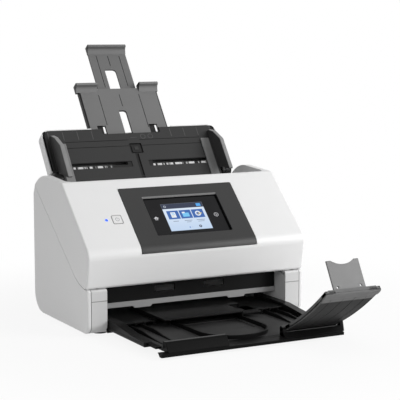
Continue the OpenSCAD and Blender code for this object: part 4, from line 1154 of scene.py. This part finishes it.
class SCANNER_OT_output_tray(Builder, bpy.types.Operator):
    """Drawn-out output tray: sliding decks and rails, and the ribbed extension"""
    bl_idname = "scanner.output_tray"
    bl_label = "Output tray"

    def execute(self, context):
        self.tray(black_finish(context))
        self.extension(context.scene.scanner_output, black_finish(context))
        return {"FINISHED"}

    def tray(self, black):
        """Decks, rails and hooks of the tray that slides in the base."""
        under, deck, top = 13.5, 15.5, 20.4
        raised = [(-66, -36), (41, -36), (41, 6), (58, 6), (58, 57), (-66, 57)]
        parts = [prism(rounded(raised, 0.8, 3), PLAN, 18.5, 20.5, 0.3, 0.6)]
        for u0, v0, u1, v1, high, r in (
                (-111, -12, -64, 57, deck, 0.5), (-66, -12, -64, 57, top, 0.4), (56, 6, 58, 57, top, 0.4),
                (39, -36, 41, 8, top, 0.4), (39, 6, 58, 8, top, 0.4), (39, -26, 72, 8, deck, 0.6),
                (56, -14, 111, 57, deck, 0.6)):
            parts.append(block(PLAN, u0, v0, u1, v1, under, high, r, 0.2, 0.6))
        rail = [(-95, 6.2), (-95, 12.0), (-60, 13.6), (-30, 17.0), (-14, 19.0), (57, 19.0), (57, 6.2)]
        rail = cut(prism(rounded(rail, [0.4, 1.2, 0, 0, 0, 0.4, 0.4], 4), SIDE, 110, 121, 0.3, 1.0, 3),
                   block(SIDE, -96, 7.6, 58, 11.0, 109, 117.5),
                   block(SIDE, -96, 0, 58, 13.5, 109, 111),
                   block(SIDE, -96, 9.2, 58, 9.9, 120.5, 123))
        parts.append(both_sides(rail))
        for front, count, start, step in ((-13.4, 4, -104.0, 12.0), (-15.4, 3, 80.0, 11.0)):
            hook = block(PLAN, -1.2, front, 1.2, front + 2.0, 12.0, 15.2, 0.4, 0.2, 0.5, 2)
            parts.append(copies(hook, count, start, step, black))
        piece(together(*parts), "output_tray_frame", black, "output_tray", "output_tray")

    def extension(self, s, black):
        """Floor of the extension with its bowed wall, ribs, lips and the claws that hold the flap."""
        low = 6.2
        floor = [(-110, -119), (110, -119), (110, 8), (-110, 8)]
        floor = cut(prism(rounded(floor, 0.6, 3), PLAN, low, 8.2, 0.2, 0.3, 2),
                    block(PLAN, -38, -70, 38, -20, 7.0, 40, 2))
        bows = [[(-r, -10.0)] + arc((0, -75.0), r, 180, 360, 36) + [(r, -10.0)] for r in (44.5, 42.0)]
        sag = [(-114.0 + 70.0 * k / 12, 8.3 + 4.6 * (k / 12) ** 2) for k in range(13)]
        rib = [(-10.0, 8.0), (-114.0, 8.0)] + sag + [(-10.0, 12.9)]
        lip = [(-119, low), (-119, 17.2)] + arc((-123.0, 12.8), 5.2, 78, 150, 8) + [(-132.4, 8.2), (-133, low)]
        right_lip = rounded([(-119, low), (-119, 11.4), (-127, 12.0), (-133, low)], [0, 0.6, 1.4, 0.4], 4)
        flange = rounded([(-125, 7.2), (-135.5, low), (-135.5, 2.6), (-130, 2.6), (-128, 5.2)],
                         [0.2, 0.5, 0.5, 0.5, 0.2], 3)
        claw = rounded([(-118.6, 16.0), (-125.4, 16.0), (-128.0, low), (-119.0, low)], [0, 0, 0.3, 0.3], 3)
        parts = [
            floor,
            prism(bows[0] + bows[1][::-1], PLAN, 8.1, 13.0, 0.0, 0.6, 3),
            both_sides(block(PLAN, 109, -115, 116.4, -10, 8.0, 10.4, 0.4, 0.2, 0.3, 2)),
            *[copies(prism(rib, SIDE, 0.0, 2.0, 0.4, 0.4, 2), s.ribs, a, 16.0, black) for a in (-100.0, 84.0)],
            prism(lip, SIDE, -110, -33, 0.8, 0.8, 3),
            prism(right_lip, SIDE, 41, 121.6, 0.6, 0.6, 3),
            prism(flange, SIDE, -119.5, 119.5, 0.5, 0.5, 2),
            prism([(-118, low), (-118, 8.2), (-126, 7.0), (-127, low)], SIDE, -34, 42),
            block(SIDE, -118.9, 8.0, -117.9, 12.6, 45.8, 119.8, 0.3),
        ]
        for a, b in ((41, 45.6), (120, 124.6)):
            parts += [prism(claw, SIDE, a, b, 0.4, 0.4, 2), bar(FLAP_AXIS, 3.4, a, b, 28, 0.4)]
        piece(together(*parts), "tray_extension_frame", self.floor_finish(s), "tray_extension",
              "tray_extension")

    def floor_finish(self, s):
        """Black plastic, worn a little paler on the floor between the ribs, with a painted highlight along the top
        edge of the lip.
        """
        f = Finish("extension_black")
        y, z, _ = f.frame(SIDE)
        fine = f.noise(2000.0, 2.0, 0.6)
        slow = f.noise(30.0, 3.0, 0.55)
        worn = z.soft(8.6, 8.35).least(y.soft(-118.5, -116.0)) * slow.soft(0.2, 0.7, 0.7, 1.0)
        # painted highlight: a paler line along the top edge of the lip
        ridge_highlight = z.soft(17.3, 17.8).least(y.soft(-118.8, -119.6)) * 0.8
        return f.set(Base_Color=ridge_highlight.mix(worn.mix(rgb(s.black), shade(s.black, 7.5)), grey(0.12)),
                     Roughness=worn * 0.15 + (fine - 0.5) * 0.05 + 0.32, Normal=f.bump(fine, 0.08),
                     Specular_IOR_Level=0.03)


class SCANNER_OT_stop_flap(Builder, bpy.types.Operator):
    """Curved stop flap and the stop plate that stands on its end"""
    bl_idname = "scanner.stop_flap"
    bl_label = "Stop flap"

    def execute(self, context):
        s = context.scene.scanner_output
        x0, x1 = FLAP_X
        under, over = -2.3, 2.3
        lip = ((0.885, 0.0), (0.9, -0.9), (0.93, -1.3), (0.97, -1.3), (0.988, -0.9), (1.0, 0.0), (0.99, 0.6),
               (0.9, 0.6))
        crest = ((0.986, -1.0), (1.0, -1.0), (1.0, 2.4), (0.997, 3.3), (0.992, 3.6), (0.986, 3.5))
        parts = [
            self.sheet(x0, x1, under, -0.5, 0.0, 1.0),
            self.sheet(x0, x1, -2.25, over, 0.0, 0.12, 8),
            self.sheet(x0, x0 + 3, under, over, 0.0, 1.0),
            self.sheet(x1 - 3, x1, under, over, 0.0, 1.0),
            self.sheet(x0, 59.6, under, over, 0.9, 1.0, 8),
            self.sheet(103.4, x1, under, over, 0.9, 1.0, 8),
            bar(FLAP_AXIS, 3.0, x0, x1, 28, 0.4),
            *[self.sheet(x, x + 1.2, -2.55, -2.1, 0.08, 0.86, 16, 0.3) for x in (60.0, 76.0, 92.0, 107.0)],
            prism([flap_at(u, under + h) for u, h in lip], SIDE, x0, x1, 0.5, 0.5, 2),
            prism([flap_at(u, h) for u, h in crest], SIDE, x0 + 4.5, x1 - 4.5, 0.6, 0.6, 3),
        ]
        piece(together(*parts), "stop_flap_sheet", self.flap_finish(s), "stop_flap", "stop_flap")

        x0, x1, top = 60.0, 103.0, 37.5
        outline = [(x0, 0.0), (x1, 0.0), (x1, top)] + arc((81.5, 59.0), 26.5, 305.8, 234.2, 18) + [(x0, top)]
        plate = cut(prism(outline, STOP, -1.1, 1.1, 0.4, 0.4, 2),
                    *[prism(circle((x, 6.0), 1.6), STOP, -5, 5) for x in (66.0, 97.0)])
        piece(together(plate, bar(STOP_AXIS, 1.9, 60.5, 102.5, 24, 0.3)), "stop_plate_face",
              moulded("stop_grey", s.stop, 0.45, 2400.0, 0.08, 0.03), "stop_plate", "stop_plate")
        return {"FINISHED"}

    def sheet(self, x0, x1, low, high, u0, u1, n=22, edge=0.5):
        """A strip of the flap between two heights and two distances from its root."""
        us = [u0 + (u1 - u0) * i / n for i in range(n + 1)]
        outline = [flap_at(u, high) for u in us] + [flap_at(u, low) for u in us[::-1]]
        return prism(outline, SIDE, x0, x1, edge, edge, 2)

    def flap_finish(self, s):
        """Dark flap plastic, paler towards its tip and at its end nearer the middle."""
        f = Finish("flap_grey")
        y, _, x = f.frame(SIDE)
        fine = f.noise(2200.0, 2.0, 0.6)
        slow = f.noise(45.0, 3.0)
        end = y.soft(-190.5, -193.0).most(x.soft(49.6, 48.8) * 0.7) * slow.soft(0.1, 0.6, 0.8, 1.0)
        return f.set(Base_Color=(end * 0.85 + (fine - 0.5) * 0.06).mix(rgb(s.flap), grey(0.2)),
                     Roughness=(slow - 0.5) * 0.12 + 0.5, Normal=f.bump(fine, 0.1), Specular_IOR_Level=0.05)


class SCANNER_OT_works(Builder, bpy.types.Operator):
    """Finishes of the pieces carried over: covers, pins, frames, rollers, boards and sockets"""
    bl_idname = "scanner.works"
    bl_label = "Inner works"

    def execute(self, context):
        tray = context.scene.scanner_tray.dark
        for material, names in (
                (white_finish(context), "rear_cover"),
                (moulded("trim_dark", (0.03, 0.03, 0.032), 0.55, 1800.0, 0.2, 0.1), "bottom_cover"),
                (rubber("foot_rubber", (0.012, 0.012, 0.013)), "rubber_feet"),
                (brushed("screw_steel", (0.5, 0.5, 0.52), 0.35, 2), "case_screws"),
                (moulded("module_frame", (0.2, 0.21, 0.22), 0.4), "display_module"),
                (board_finish(), "panel_board main_board"),
                (brushed("pin_steel", (0.55, 0.55, 0.57), 0.3, 0),
                 "cover_hinge_pins tray_hinge_pins flap_pin stop_pin"),
                (moulded("gear_white", (0.7, 0.7, 0.69), 0.4), "guide_pinion"),
                (moulded("tray_dark", tray, 0.48, 2200.0, 0.12, 0.06, 0.25), "tray_brackets"),
                (moulded("frame_paint", grey(0.7), 0.5), "left_side_frame right_side_frame"),
                (brushed("frame_steel", (0.56, 0.57, 0.58), 0.36, 1), "hinge_arms cover_catches"),
                (inner_finish(), "lower_guide upper_guide power_inlet"),
                (moulded("scan_unit_grey", (0.05, 0.052, 0.058), 0.42),
                 "lower_scan_unit upper_scan_unit drive_motor"),
                (glass_finish(), "lower_scan_glass upper_scan_glass"),
                (moulded("bearing_tan", (0.5, 0.42, 0.26), 0.5), "shaft_bushes"),
                (brushed("shaft_steel", (0.6, 0.6, 0.62), 0.24, 0),
                 "feed_shaft transport_shaft exit_shaft motor_pulley"),
                (rubber("roller_rubber", (0.035, 0.037, 0.04)),
                 "feed_tyres transport_tyres exit_tyres drive_belt separation_roller transport_idlers exit_idlers"),
                (brushed("socket_metal", (0.58, 0.58, 0.6), 0.3, 1), "usb_socket network_socket")):
            for name in names.split():
                paint(name, material)
        return {"FINISHED"}


class SCANNER_OT_stage(Builder, bpy.types.Operator):
    """Pale floor, soft lamps, white surroundings and the camera"""
    bl_idname = "scanner.stage"
    bl_label = "Stage"

    def execute(self, context):
        s = context.scene.scanner_stage
        scene = context.scene
        scene.view_settings.view_transform = "Standard"

        cheek = Vector((0, CHEEK_Y * MM, 0))
        cam = bpy.data.cameras.new("camera")
        cam.sensor_fit = "AUTO"
        cam.angle = s.angle
        scene.camera = self.aimed(scene, cam, Vector(s.eye) + cheek, Vector(s.target) + cheek)

        bm = bmesh.new()
        bmesh.ops.create_grid(bm, x_segments=8, y_segments=8, size=6.0)
        floor = as_object(bm, "floor")
        floor.data.materials.append(self.floor_finish(s))

        for name, place, target, size, share in (
                ("key_lamp", (1.15, -1.05, 0.72), (0.05, 0, 0.1), 0.9, 1.0),
                ("fill_lamp", (-1.2, -1.2, 0.7), (0, 0, 0.08), 0.8, 0.15),
                ("top_lamp", (0.25, 0.35, 2.2), (0, 0, 0.1), 1.0, 0.12)):
            lamp = bpy.data.lights.new(name, "AREA")
            lamp.shape = "SQUARE"
            lamp.size = size
            lamp.energy = s.key * share
            self.aimed(scene, lamp, Vector(place), Vector(target))

        world = bpy.data.worlds.new("surroundings")
        scene.world = world
        world.use_nodes = True
        back = world.node_tree.nodes["Background"]
        back.inputs["Color"].default_value = (1, 1, 1, 1)
        strength = seen_rays(world.node_tree) * (1.0 - s.sky) + s.sky
        strength.feed(back.inputs["Strength"], strength)
        return {"FINISHED"}

    def aimed(self, scene, data, place, target):
        """An object for a camera or lamp, set at a place and turned to a target."""
        ob = bpy.data.objects.new(data.name, data)
        ob.location = place
        ob.rotation_euler = (target - place).to_track_quat("-Z", "Y").to_euler()
        scene.collection.objects.link(ob)
        return ob

    def floor_finish(self, s):
        """Pale floor, lifted to white for the camera, with a little of the shadow left on it."""
        f = Finish("floor_pale")
        tint = f.noise(6.0)
        f.set(Base_Color=tint.mix(shade(s.floor, 0.99), rgb(s.floor)), Specular_IOR_Level=0.1,
              Roughness=tint.soft(0.2, 0.8, 0.75, 0.85))
        x, y, _ = f.frame(PLAN)
        seen = seen_rays(f.tree) * x.span(y - 20.0).soft(200.0, 560.0, 0.88, 1.0)
        glow = seen.node("ShaderNodeEmission", Color=(1, 1, 1, 1))
        mix = seen.node("ShaderNodeMixShader", i0=seen, i1=Sock(f.tree, f.shader.outputs[0]), i2=glow)
        mix.feed(f.tree.nodes["Material Output"].inputs["Surface"], mix)
        return f.mat


OPERATORS = (SCANNER_OT_base, SCANNER_OT_cover, SCANNER_OT_panel, SCANNER_OT_input_tray, SCANNER_OT_guides,
             SCANNER_OT_supports, SCANNER_OT_exit, SCANNER_OT_output_tray, SCANNER_OT_stop_flap, SCANNER_OT_works,
             SCANNER_OT_stage)


class SCANNER_PT_sidebar(bpy.types.Panel):
    """Lists the scanner's pieces and their settings"""
    bl_idname = "SCANNER_PT_sidebar"
    bl_label = "Document scanner"
    bl_space_type = "VIEW_3D"
    bl_region_type = "UI"
    bl_category = "Scanner"

    def draw(self, context):
        layout = self.layout
        for attr, group in SETTINGS:
            col = layout.column(align=True)
            for key in group.__annotations__:
                col.prop(getattr(context.scene, attr), key)
        for op in OPERATORS:
            layout.operator(op.bl_idname)


def register():
    for attr, group in SETTINGS:
        bpy.utils.register_class(group)
        setattr(bpy.types.Scene, attr, PointerProperty(type=group))
    for op in OPERATORS:
        bpy.utils.register_class(op)
    bpy.utils.register_class(SCANNER_PT_sidebar)


def unregister():
    bpy.utils.unregister_class(SCANNER_PT_sidebar)
    for op in reversed(OPERATORS):
        bpy.utils.unregister_class(op)
    for attr, group in reversed(SETTINGS):
        delattr(bpy.types.Scene, attr)
        bpy.utils.unregister_class(group)


def main():
    register()
    for op in OPERATORS:
        group, name = op.bl_idname.split(".")
        getattr(getattr(bpy.ops, group), name)()


if __name__ == "__main__":
    main()
